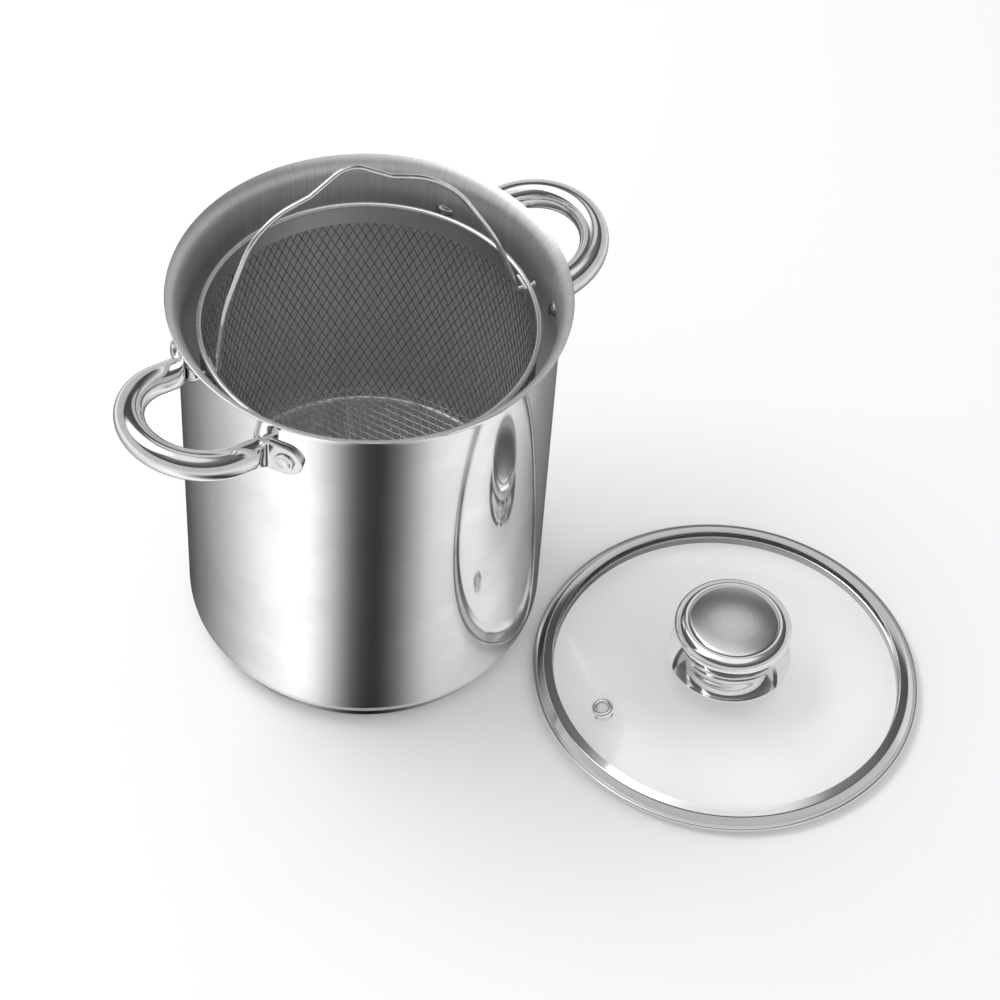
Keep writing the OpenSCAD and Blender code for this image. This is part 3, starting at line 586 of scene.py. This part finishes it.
def wire(name, points, thickness, facets=4, edit=None):
    """A round wire: a line of points in mm turned into a curve that is given the wire's thickness."""
    piece = draw_line(name, points)
    bpy.ops.object.mode_set(mode="OBJECT")
    if edit:
        edit(piece)
    bpy.ops.object.convert(target="CURVE")
    piece = bpy.context.object
    piece.data.bevel_depth = thickness / 2 * MM
    piece.data.bevel_resolution = facets
    piece.data.use_fill_caps = True
    bpy.ops.object.convert(target="MESH")
    piece = bpy.context.object
    bpy.ops.object.mode_set(mode="EDIT")
    bpy.ops.mesh.select_all(action="SELECT")
    bpy.ops.mesh.normals_make_consistent(inside=False)
    bpy.ops.object.mode_set(mode="OBJECT")
    bpy.ops.object.shade_smooth_by_angle(angle=math.radians(60))
    return piece


hands = []
for hand in (1, -1):
    strand = []
    for k in range(2 * CROSSINGS + 1):
        level = k / 2
        around = math.radians(hand * level * 180 / CLOTH_COUNT)
        reach = CLOTH_R + hand * CLOTH_WAVE * math.cos(math.pi * level)
        high = CLOTH_LOW + (CLOTH_HIGH - CLOTH_LOW) * level / CROSSINGS
        strand.append((reach * math.cos(around), reach * math.sin(around), high))
    one = wire("cloth_strand", strand, CLOTH_WIRE, 1)
    bpy.ops.object.mode_set(mode="EDIT")
    bpy.ops.mesh.select_all(action="SELECT")
    share = math.tau * (CLOTH_COUNT - 1) / CLOTH_COUNT
    bpy.ops.mesh.spin(steps=CLOTH_COUNT - 1, dupli=True, angle=share, center=(0, 0, 0), axis=(0, 0, 1))
    bpy.ops.object.mode_set(mode="OBJECT")
    hands.append(one)
hands[0].select_set(True)
bpy.context.view_layer.objects.active = hands[0]
bpy.ops.object.join()
cloth = bpy.context.object
cloth.name = "basket_wall_cloth"
# The wires are coloured far darker than stainless steel, so that they show dark against the wall behind:
# painted shade.
SHADED_CLOTH = steel("woven_wire_painted_shade", (0.30, 0.29, 0.295), (0.40, 0.385, 0.39), (0.20, 0.30), marks=400.0)
cloth.data.materials.append(SHADED_CLOTH)
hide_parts("basket_wall")
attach(cloth, "pot")

# Basket floor: a disc of woven wire cloth, pressed into a shallow dish whose edge turns up inside the wall,
# where it is spot-welded. The cut ends of its wires stand up as a ragged edge.
DISH_R = 70.6
DISH_FOLD = 2.8
DISH_Z = 59.0
DISH_EDGE = 64.2
DISH_PITCH = 3.55
DISH_ANGLE = 26
flat_r = DISH_R - DISH_FOLD
fold_length = DISH_FOLD * math.pi / 2
cut_r = flat_r + fold_length + DISH_EDGE - DISH_Z - DISH_FOLD


def onto_dish(x, y, lift):
    """A point of the flat cloth, laid on the floor and up its folded edge."""
    far = math.hypot(x, y)
    if far < flat_r:
        return Vector((x, y, DISH_Z + lift))
    over = far - flat_r
    angle = min(over, fold_length) / DISH_FOLD
    reach = flat_r + (DISH_FOLD - lift) * math.sin(angle)
    high = DISH_Z + DISH_FOLD - (DISH_FOLD - lift) * math.cos(angle) + max(0.0, over - fold_length)
    return Vector((x / far * reach, y / far * reach, high))


def lay_dish(piece):
    """Puts the lattice's straight wires on the dish, one line of points for each."""
    build = bmesh.new()
    step = DISH_PITCH / math.sin(math.radians(2 * DISH_ANGLE)) / 2
    for hand in (1, -1):
        along = Vector((math.sin(math.radians(DISH_ANGLE)) * hand, math.cos(math.radians(DISH_ANGLE))))
        aside = Vector((along.y, -along.x))
        count = int(cut_r / DISH_PITCH)
        for i in range(-count, count + 1):
            off = i * DISH_PITCH
            half = math.sqrt(max(0.0, cut_r**2 - off**2))
            last = None
            shift = off / math.tan(math.radians(2 * DISH_ANGLE)) * hand
            low, high = math.ceil((-half - shift) / step), math.floor((half - shift) / step)
            for k in range(low, high + 1):
                flat = aside * off + along * (shift + k * step)
                lift = hand * CLOTH_WAVE * math.cos(math.pi * (k / 2 + i))
                here = build.verts.new(onto_dish(flat.x, flat.y, lift) * MM)
                if last:
                    build.edges.new((last, here))
                last = here
    build.to_mesh(piece.data)
    build.free()


dish = wire("basket_floor_cloth", [(0, 0, 0), (1, 0, 0)], CLOTH_WIRE, 1, lay_dish)
# The floor's cloth is the same wire as the wall's, coloured near white and half matt so that it shows
# bright: painted light.
LIT_DISH = steel(
    "pressed_cloth_painted_light", (0.84, 0.82, 0.825), (0.93, 0.91, 0.915), (0.24, 0.34), marks=300.0, metal=0.45
)
dish.data.materials.append(LIT_DISH)
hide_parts("basket_floor")
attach(dish, "pot")

# Foot ring and feet: drawn wire, coloured near white and half matt as a painted highlight. The ring is
# welded under the floor's edge, and three bent loops welded inside it hold the basket clear of the pot's
# bottom.
# Near white and half matt so that the ring shows as a bright arc through the cloth: painted highlight.
GLEAM_FOOT = steel("foot_wire_painted_highlight", (0.88, 0.87, 0.87), (0.94, 0.93, 0.93), (0.20, 0.28), marks=200.0, metal=0.5)
for name in ("basket_foot_ring", "basket_foot_1", "basket_foot_2", "basket_foot_3"):
    dress(name, GLEAM_FOOT)

# Bail lugs: two small steel plates spot-welded inside the band, with a hole for the bail's pin.
for name in ("bail_lug_right", "bail_lug_left"):
    dress(name, BAND)

# Bail: one length of spring wire bent into an arch with a peak for the hook, its ends turned out through the
# lugs and band and upset so that they can't slip back.
BAIL_WIRE = 2.4
LEG_X = 68.0
PIN_X = 76.7
PIN_BEND = 1.4
BAIL_BENDS = [(20.2, -1.4, 80), (54.6, 4.6, 40), (74.7, 0.2, 6)]
PEAK_H = 75.8
PEAK_BEND = 13
LEAN = 20
END_R = 2.0
END_T = 1.0
END_ROUND = 0.25


def bail_half(side):
    """Corners (x, y, bend radius) of half the arch, where BAIL_BENDS has (angle, way out, bend radius)."""
    corners = [(side * PIN_X, 0, 0), (side * LEG_X, 0, PIN_BEND)]
    for angle, out, radius in BAIL_BENDS:
        way = math.radians(angle)
        corners.append((side * (LEG_X + out) * math.cos(way), (LEG_X + out) * math.sin(way), radius))
    return corners


upright = Matrix.Rotation(math.radians(90 - LEAN), 3, "X")
hinge = Vector((0, 0, HINGE_Z))
arch = bent(bail_half(-1) + [(0, PEAK_H, PEAK_BEND)] + bail_half(1)[::-1], 3)
stand = basket_turn @ upright
bail = wire("bail_arch", [hinge + stand @ Vector((p.x, p.y, 0)) for p in arch], BAIL_WIRE, 6)
for side in (1, -1):
    at = hinge + basket_turn @ Vector((side * (PIN_X - END_T / 2), 0, 0))
    end = start(
        bpy.ops.mesh.primitive_cylinder_add,
        "bail_end",
        vertices=24,
        radius=END_R * MM,
        depth=END_T * MM,
        location=at * MM,
        rotation=(0, math.pi / 2, math.radians(TURN)),
    )
    bpy.ops.object.transform_apply(location=True, rotation=True, scale=True)
    bpy.ops.object.mode_set(mode="EDIT")
    bpy.ops.mesh.select_all(action="SELECT")
    bpy.ops.mesh.bevel(offset=END_ROUND * MM, segments=3)
    bpy.ops.object.mode_set(mode="OBJECT")
    bail.select_set(True)
    bpy.context.view_layer.objects.active = bail
    bpy.ops.object.join()
bpy.ops.object.shade_smooth_by_angle(angle=math.radians(40))
BRIGHT = steel("bright_wire", (0.78, 0.775, 0.775), (0.88, 0.875, 0.875), (0.12, 0.2), marks=120.0)
bail.data.materials.append(BRIGHT)
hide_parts("bail")
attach(bail, "bail")

# Lid glass: tempered glass pressed to a shallow dome, drilled in the middle for the knob and near the edge
# for the steam vent. The lid's ring covers its ground edge.
LID = (111.757, -132.715)
DOME_R = 345.98
DOME_Z = -327.91
GLASS_R = 83.4
GLASS_T = 4.0
GLASS_TOP = DOME_Z + DOME_R
KNOB_HOLE_R = 4.5
VENT_HOLE_R = 3.4
VENT_FAR = 65.0
VENT_WAY = 172.5
DRILL_Z = 16
DRILL_LONG = 20
glass_edge = math.degrees(math.asin(GLASS_R / DOME_R))
under_edge = math.degrees(math.asin(GLASS_R / (DOME_R - GLASS_T)))
glass_section = [(0, GLASS_TOP)] + arc((0, DOME_Z), DOME_R, 90, 90 - glass_edge, 30)[1:]
glass_section += arc((0, DOME_Z), DOME_R - GLASS_T, 90 - under_edge, 90, 30)


def to_lid(piece):
    """Moves a turned piece from the pot's axis to the lid's."""
    piece.data.transform(Matrix.Translation((LID[0] * MM, LID[1] * MM, 0)))


glass = turned("lid_glass_dome", glass_section, 192)
to_lid(glass)
vent_frame = (
    Matrix.Translation((LID[0] * MM, LID[1] * MM, DOME_Z * MM))
    @ Matrix.Rotation(math.radians(VENT_WAY), 4, "Z")
    @ Matrix.Rotation(math.asin(VENT_FAR / DOME_R), 4, "Y")
    @ Matrix.Translation((0, 0, DOME_R * MM))
)
knob_frame = Matrix.Translation((LID[0] * MM, LID[1] * MM, DRILL_Z * MM))
for radius, place in ((KNOB_HOLE_R, knob_frame), (VENT_HOLE_R, vent_frame)):
    drill = start(
        bpy.ops.mesh.primitive_cylinder_add,
        "glass_drill",
        vertices=48,
        radius=radius * MM,
        depth=DRILL_LONG * MM,
    )
    drill.matrix_world = place
    cut(glass, drill)
    bpy.data.objects.remove(drill)
bpy.ops.object.shade_smooth_by_angle(angle=math.radians(35))


def wiped(name, scale, dark, light, rough):
    """A material that isn't metal, whose colour and roughness follow its wipe marks."""
    made = bpy.data.materials.new(name)
    made.use_nodes = True
    tree = made.node_tree
    shader = tree.nodes["Principled BSDF"]
    spot = node(tree, "ShaderNodeTexCoord")
    size = {"Vector": spot.outputs["Object"], "Scale": scale}
    mask = node(tree, "ShaderNodeGroup", size, node_tree=SOFT_MARKS).outputs["Mask"]
    tint = node(tree, "ShaderNodeValToRGB", {"Fac": mask})
    tint.color_ramp.elements[0].color = (*dark, 1)
    tint.color_ramp.elements[1].color = (*light, 1)
    tree.links.new(tint.outputs[0], shader.inputs["Base Color"])
    level = node(tree, "ShaderNodeMapRange", {"Value": mask, "To Min": rough[0], "To Max": rough[1]})
    tree.links.new(level.outputs[0], shader.inputs["Roughness"])
    return made


GLASS = wiped("tempered_glass", 18.0, (0.985, 0.99, 0.988), (0.978, 0.984, 0.982), (0.0, 0.02))
tree = GLASS.node_tree
shader = tree.nodes["Principled BSDF"]
shader.inputs["Transmission Weight"].default_value = 1.0
shader.inputs["IOR"].default_value = 1.5
shader.inputs["Metallic"].default_value = 0.0
rays = node(tree, "ShaderNodeLightPath")
clear = node(tree, "ShaderNodeBsdfTransparent", {"Color": (0.97, 0.972, 0.972, 1)})
through = maths(tree, "MAXIMUM", rays.outputs["Is Shadow Ray"], rays.outputs["Is Diffuse Ray"])
mixed = node(tree, "ShaderNodeMixShader", {0: through, 1: shader.outputs[0], 2: clear.outputs[0]})
tree.links.new(mixed.outputs[0], tree.nodes["Material Output"].inputs["Surface"])
glass.data.materials.append(GLASS)
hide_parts("lid_glass")
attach(glass, "pot")

# Lid ring: one strip of steel rolled and pressed round the glass. A skirt hangs inside the pot when the lid
# is on, a flange runs out to the hem that rests on the lip, and the sloped band above grips the glass.
SKIRT_R = 79.0
SKIRT_H = 3.4
HEM_X = 87.895
HEM_R = 0.65
RING_SHEET = 0.5
RING_GAP = 0.1
SKIRT_BEND = 0.6
SLOPE_LOW = 86.5
SLOPE_LOW_BEND = 0.5
SLOPE_HIGH = 83.9
SLOPE_HIGH_BEND = 1.2
GRIP_END = 80.1


def fillet(corners, step=12):
    """A half section's line with its corners rounded, from (radius, height, bend) corners."""
    return [(p.x, p.y) for p in bent(corners, step)]


def sheet(line, thickness):
    """Both sides of a sheet that follows a line, as one closed half section."""
    spots = [Vector(p) for p in line]
    sides = ([], [])
    for i, spot in enumerate(spots):
        come = (spots[i] - spots[i - 1]).normalized() if i else (spots[1] - spots[0]).normalized()
        go = (spots[i + 1] - spots[i]).normalized() if i + 1 < len(spots) else come
        out = Vector((-come.y - go.y, come.x + go.x)).normalized()
        reach = thickness / 2 / max(0.3, out.dot(Vector((-come.y, come.x))))
        sides[0].append(tuple(spot + out * reach))
        sides[1].append(tuple(spot - out * reach))
    return sides[0] + sides[1][::-1] + sides[0][:1]


def drop(radius):
    """How far the glass dome has fallen below its top."""
    return DOME_R - math.sqrt(DOME_R**2 - radius**2)


band_z = GLASS_TOP + RING_SHEET / 2 + RING_GAP
hem_top = SKIRT_H + 2 * HEM_R
grip_line = [
    (HEM_X, hem_top, 0),
    (SLOPE_LOW, hem_top, SLOPE_LOW_BEND),
    (SLOPE_HIGH, band_z - drop(SLOPE_HIGH), SLOPE_HIGH_BEND),
    (GRIP_END, band_z - drop(GRIP_END), 0),
]
ring_line = (
    fillet([(SKIRT_R, 0, 0), (SKIRT_R, SKIRT_H, SKIRT_BEND), (HEM_X, SKIRT_H, 0)])
    + arc((HEM_X, SKIRT_H + HEM_R), HEM_R, -90, 90, 10)[1:-1]
    + fillet(grip_line)
)
ring = turned("lid_ring_strip", sheet(ring_line, RING_SHEET), 256, 60)
to_lid(ring)
RING = steel(
    "pressed_ring", (0.72, 0.715, 0.715), (0.84, 0.835, 0.835), (0.08, 0.14), LID, lines=600.0, reach=0.4
)
ring.data.materials.append(RING)
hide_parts("lid_ring")
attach(ring, "pot")

# Steam vent: a steel eyelet that keeps the drilled hole's edge from chipping. It is pushed through the glass
# from above, where its edge is rolled round, and spread out under the glass.
EYE_R = 5.0
EYE_HOLE = 2.4
EYE_H = 2.2
EYE_GAP = 0.1
SHANK_R = 3.3
CLINCH_R = 4.5
CLINCH_H = 1.0
CLINCH_EDGE = 0.2
eye_mid = (EYE_R + EYE_HOLE) / 2
eye_half = (EYE_R - EYE_HOLE) / 2
clinch_low = -GLASS_T - CLINCH_H
eye_section = (
    [(EYE_HOLE, clinch_low), (EYE_HOLE, EYE_H - eye_half)]
    + arc((eye_mid, EYE_H - eye_half), eye_half, 180, 0, 14)
    + [(EYE_R, EYE_GAP), (SHANK_R, EYE_GAP), (SHANK_R, -GLASS_T - EYE_GAP), (CLINCH_R, -GLASS_T - EYE_GAP)]
    + [(CLINCH_R, clinch_low + CLINCH_EDGE), (CLINCH_R - CLINCH_EDGE, clinch_low), (EYE_HOLE, clinch_low)]
)
eye = turned("vent_eyelet_ring", eye_section, 64)
eye.matrix_world = vent_frame
bpy.ops.object.transform_apply(location=True, rotation=True, scale=True)
eye.data.materials.append(MIRROR)
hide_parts("vent_eyelet")
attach(eye, "pot")

# Knob: two steel pressings round a threaded post. The domed cap is satin on top, with a crisp ring where it
# turns into the polished side. The flared base stands on a pale silicone seal.
KNOB_H = 25.4
KNOB_DOME = 104.8
KNOB_SHEET = 0.6
FLANGE_R = 28.2
FLANGE_SEAT = 0.7
FLANGE_LIFT = 0.3
NECK_R = 8.57
NECK_X = 20.775
NECK_H = 9.375
NECK_END = 24.0
KNOB_SATIN_R = 20.0
SATIN_RING = 0.3
SATIN_DROP = 2.45
CAP_END = 24.2
CAP_END_DROP = 7.35
KNOB_SIDE_R = 26.3
SIDE_WIDE = 5.4
SIDE_HIGH = 4.1
SIDE_Z = -6.3
KNOB_TOP = GLASS_TOP + KNOB_H
FLANGE_Z = GLASS_TOP - drop(FLANGE_R) + FLANGE_SEAT
NECK = (NECK_X, FLANGE_Z + NECK_H)
dome_edge = math.degrees(math.asin(KNOB_SATIN_R / KNOB_DOME))
cap_line = arc((0, KNOB_TOP - KNOB_DOME), KNOB_DOME - KNOB_SHEET / 2, 90, 90 - dome_edge, 16)
cap_line.append((KNOB_SATIN_R + SATIN_RING, KNOB_TOP - SATIN_DROP))
for a in range(6, 115, 6):
    out, high = math.sin(math.radians(a)), math.cos(math.radians(a))
    cap_line.append((KNOB_SIDE_R + SIDE_WIDE * (out - 1), KNOB_TOP + SIDE_Z + SIDE_HIGH * high))
cap_line.append((CAP_END, KNOB_TOP - CAP_END_DROP))
knob = turned("knob_cap_dome", sheet(cap_line, KNOB_SHEET), 128, 24)
to_lid(knob)
KNOB_TOP_STEEL = steel(
    "knob_top_satin", (0.70, 0.69, 0.695), (0.76, 0.75, 0.755), (0.20, 0.24), LID, lines=1500.0, reach=0.2
)
knob.data.materials.append(MIRROR)
knob.data.materials.append(KNOB_TOP_STEEL)
for face in knob.data.polygons:
    middle = face.center / MM
    on_top = math.hypot(middle.x - LID[0], middle.y - LID[1]) < KNOB_SATIN_R and face.normal.z > 0.5
    face.material_index = 1 if on_top else 0
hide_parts("knob_cap")
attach(knob, "pot")
base_line = [(FLANGE_R, FLANGE_Z + FLANGE_LIFT)] + arc(NECK, NECK_R, 270, 90, 28)
base_line.append((NECK_END, NECK[1] + NECK_R))
flare = turned("knob_base_flare", sheet(base_line, KNOB_SHEET), 128, 50)
to_lid(flare)
flare.data.materials.append(MIRROR)
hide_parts("knob_base")
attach(flare, "pot")
for name in ("knob_post", "knob_screw", "knob_washer"):
    dress(name, RIVET)
SEAL = wiped("clear_silicone", 150.0, (0.72, 0.72, 0.70), (0.80, 0.80, 0.78), (0.3, 0.45))
for name in ("knob_upper_seal", "knob_lower_seal"):
    dress(name, SEAL)

# Floor: a pale seamless sweep of paper. Metal mirrors light and dark boards in place of it, as they stand
# round the pot in a product studio, set in degrees round the wall from the side that faces the camera.
CAMERA_WAY = -123.9
PAPER = 0.92
FAR_PAPER = 0.75
FADE = (0.30, 0.60)
SEEN_GLOW = 0.06
MIRRORED_GLOW = 0.25
UNDER_GLASS_GLOW = 0.35
BOARDS = [
    (-180, 0.55), (-122, 0.26), (-105, 0.12), (-92, 0.05), (-80, 0.10), (-70, 0.165), (-60, 0.25),
    (-44, 0.50), (-28, 0.95), (-19, 1.00), (-13, 0.68), (-5.5, 0.10), (1.5, 0.028), (7, 0.036), (14, 0.25),
    (22, 0.77), (34, 0.84), (48, 0.70), (58, 0.46), (67, 0.25), (78, 0.20), (92, 0.12), (105, 0.12),
    (122, 0.26), (180, 0.55),
]


def grey(level):
    """A grey as a colour."""
    return (level, level, level, 1)


def fill_ramp(ramp, stops):
    """Gives a colour ramp its greys, from (position, level) stops."""
    for i, (position, level) in enumerate(stops):
        stop = ramp.elements[i] if i < 1 else ramp.elements.new(position)
        stop.position = position
        stop.color = grey(level)
    while len(ramp.elements) > len(stops):
        ramp.elements.remove(ramp.elements[-1])


floor = start(bpy.ops.mesh.primitive_circle_add, "studio_floor", vertices=128, radius=4, fill_type="NGON")
FLOOR = bpy.data.materials.new("studio_sweep")
FLOOR.use_nodes = True
tree = FLOOR.node_tree
tree.nodes.clear()
put = tree.nodes.new("ShaderNodeOutputMaterial")
spot = node(tree, "ShaderNodeTexCoord")
turn = node(tree, "ShaderNodeMapping", {"Vector": spot.outputs["Object"]})
turn.inputs["Rotation"].default_value = (0, 0, -math.radians(CAMERA_WAY))
parts = node(tree, "ShaderNodeSeparateXYZ", {0: turn.outputs[0]})
far = node(tree, "ShaderNodeVectorMath", {0: spot.outputs["Object"]}, operation="LENGTH").outputs["Value"]

# The place on the round wall that mirrors a spot of the floor: the spot's angle over 2 - POT_R / distance.
around = maths(tree, "ARCTAN2", parts.outputs["Y"], parts.outputs["X"])
near = maths(tree, "DIVIDE", POT_R * MM, far, clamp=True)
on_wall = maths(tree, "DIVIDE", around, maths(tree, "SUBTRACT", 2.0, near))
place = node(tree, "ShaderNodeMapRange", {"Value": on_wall, "From Min": -math.pi, "From Max": math.pi})
boards = node(tree, "ShaderNodeValToRGB", {"Fac": place.outputs[0]})
boards.color_ramp.interpolation = "B_SPLINE"
fill_ramp(boards.color_ramp, [(angle / 360 + 0.5, level) for angle, level in BOARDS])
fade = node(tree, "ShaderNodeMapRange", {"Value": far, "From Min": FADE[0], "From Max": FADE[1]})
mirrored = node(tree, "ShaderNodeMix", {"Factor": fade.outputs[0]}, data_type="RGBA")
tree.links.new(boards.outputs[0], mirrored.inputs["A"])
mirrored.inputs["B"].default_value = grey(FAR_PAPER)
rays = node(tree, "ShaderNodeLightPath")
bounced = maths(tree, "MULTIPLY", rays.outputs["Glossy Depth"], 1.0, clamp=True)
colour = node(tree, "ShaderNodeMix", {"Factor": bounced}, data_type="RGBA")
colour.inputs["A"].default_value = grey(PAPER)
tree.links.new(mirrored.outputs["Result"], colour.inputs["B"])
matt = node(tree, "ShaderNodeBsdfDiffuse", {"Color": colour.outputs["Result"]})
indirect = maths(tree, "MAXIMUM", rays.outputs["Is Glossy Ray"], rays.outputs["Is Transmission Ray"])
under_glass = maths(tree, "MULTIPLY", bounced, rays.outputs["Is Transmission Ray"])
strength = maths(tree, "MULTIPLY", rays.outputs["Is Camera Ray"], SEEN_GLOW)
strength = maths(tree, "MULTIPLY_ADD", under_glass, UNDER_GLASS_GLOW, strength)
strength = maths(tree, "MULTIPLY_ADD", indirect, MIRRORED_GLOW, strength)
glow = node(tree, "ShaderNodeEmission", {"Color": colour.outputs["Result"], "Strength": strength})
both = node(tree, "ShaderNodeAddShader", {0: matt.outputs[0], 1: glow.outputs[0]})
tree.links.new(both.outputs[0], put.inputs["Surface"])
floor.data.materials.append(FLOOR)

# Studio: a white surround that gives plain soft light. Metal mirrors a bright ceiling, darker walls and two
# soft panels in it. One large soft lamp above to the left lights the pot and isn't mirrored itself.
SKY = [(0.0, 0.66), (0.50, 0.60), (0.54, 0.07), (0.74, 0.12), (0.90, 0.24), (0.955, 1.0), (1.0, 1.0)]
PANELS = [((0.423, 0.408, 0.809), 0.972, 0.992, 0.75), ((-0.310, 0.427, 0.849), 0.86, 0.985, 2.4)]
SOFT_LIGHT = 0.72
LAMP_PLACE = Vector((-0.55, 0.75, 1.5))
LAMP_AIM = Vector((0.05, -0.05, 0.1))
world = bpy.data.worlds.new("studio")
bpy.context.scene.world = world
world.use_nodes = True
tree = world.node_tree
tree.nodes.clear()
put = tree.nodes.new("ShaderNodeOutputWorld")
spot = node(tree, "ShaderNodeTexCoord")
parts = node(tree, "ShaderNodeSeparateXYZ", {0: spot.outputs["Generated"]})
sky = node(tree, "ShaderNodeValToRGB", {"Fac": parts.outputs["Z"]})
fill_ramp(sky.color_ramp, SKY)
shown = sky.outputs[0]
for way, edge, full, level in PANELS:
    ways = {0: spot.outputs["Generated"], 1: way}
    toward = node(tree, "ShaderNodeVectorMath", ways, operation="DOT_PRODUCT")
    reach = {"Value": toward.outputs["Value"], "From Min": edge, "From Max": full}
    mask = node(tree, "ShaderNodeMapRange", reach, interpolation_type="SMOOTHSTEP")
    panel = node(tree, "ShaderNodeMix", {"Factor": mask.outputs[0]}, data_type="RGBA")
    tree.links.new(shown, panel.inputs["A"])
    panel.inputs["B"].default_value = grey(level)
    shown = panel.outputs["Result"]
rays = node(tree, "ShaderNodeLightPath").outputs
plain = node(tree, "ShaderNodeBackground", {"Color": grey(1), "Strength": SOFT_LIGHT}).outputs[0]
mirrored = node(tree, "ShaderNodeBackground", {"Color": shown, "Strength": 1.0}).outputs[0]
white = node(tree, "ShaderNodeBackground", {"Color": grey(1), "Strength": 1.0}).outputs[0]
first = node(tree, "ShaderNodeMixShader", {0: rays["Is Glossy Ray"], 1: plain, 2: mirrored}).outputs[0]
second = node(tree, "ShaderNodeMixShader", {0: rays["Is Camera Ray"], 1: first, 2: white}).outputs[0]
tree.links.new(second, put.inputs["Surface"])
lamp_data = bpy.data.lights.new("soft_box", "AREA")
lamp_data.shape = "RECTANGLE"
lamp_data.size = 1.2
lamp_data.size_y = 0.9
lamp_data.energy = 14
lamp = bpy.data.objects.new("soft_box", lamp_data)
bpy.context.scene.collection.objects.link(lamp)
lamp.visible_glossy = False
lamp.location = LAMP_PLACE
lamp.rotation_mode = "QUATERNION"
lamp.rotation_quaternion = (LAMP_AIM - LAMP_PLACE).to_track_quat("-Z", "Y")

# Camera: a long lens that looks down on the pot from in front and to the left, a little rolled, as the
# photograph was taken.
CAMERA_PLACE = (-0.4727, -0.7034, 1.0331)
CAMERA_LENS = 102.30
PITCH = math.radians(48.708)
ROLL = math.radians(4.2685)
HEADING = (0.6157, 0.7880)
ahead = Vector((HEADING[0] * math.cos(PITCH), HEADING[1] * math.cos(PITCH), -math.sin(PITCH)))
level_right = Vector((HEADING[1], -HEADING[0], 0))
level_up = level_right.cross(ahead)
right = level_right * math.cos(ROLL) + level_up * math.sin(ROLL)
up = level_up * math.cos(ROLL) - level_right * math.sin(ROLL)
camera_data = bpy.data.cameras.new("view")
camera_data.sensor_width = 36
camera_data.lens = CAMERA_LENS
camera = bpy.data.objects.new("view", camera_data)
bpy.context.scene.collection.objects.link(camera)
axes = Matrix((right, up, -ahead)).transposed().to_4x4()
camera.matrix_world = Matrix.Translation(CAMERA_PLACE) @ axes
bpy.context.scene.camera = camera
bpy.context.scene.view_settings.view_transform = "Standard"
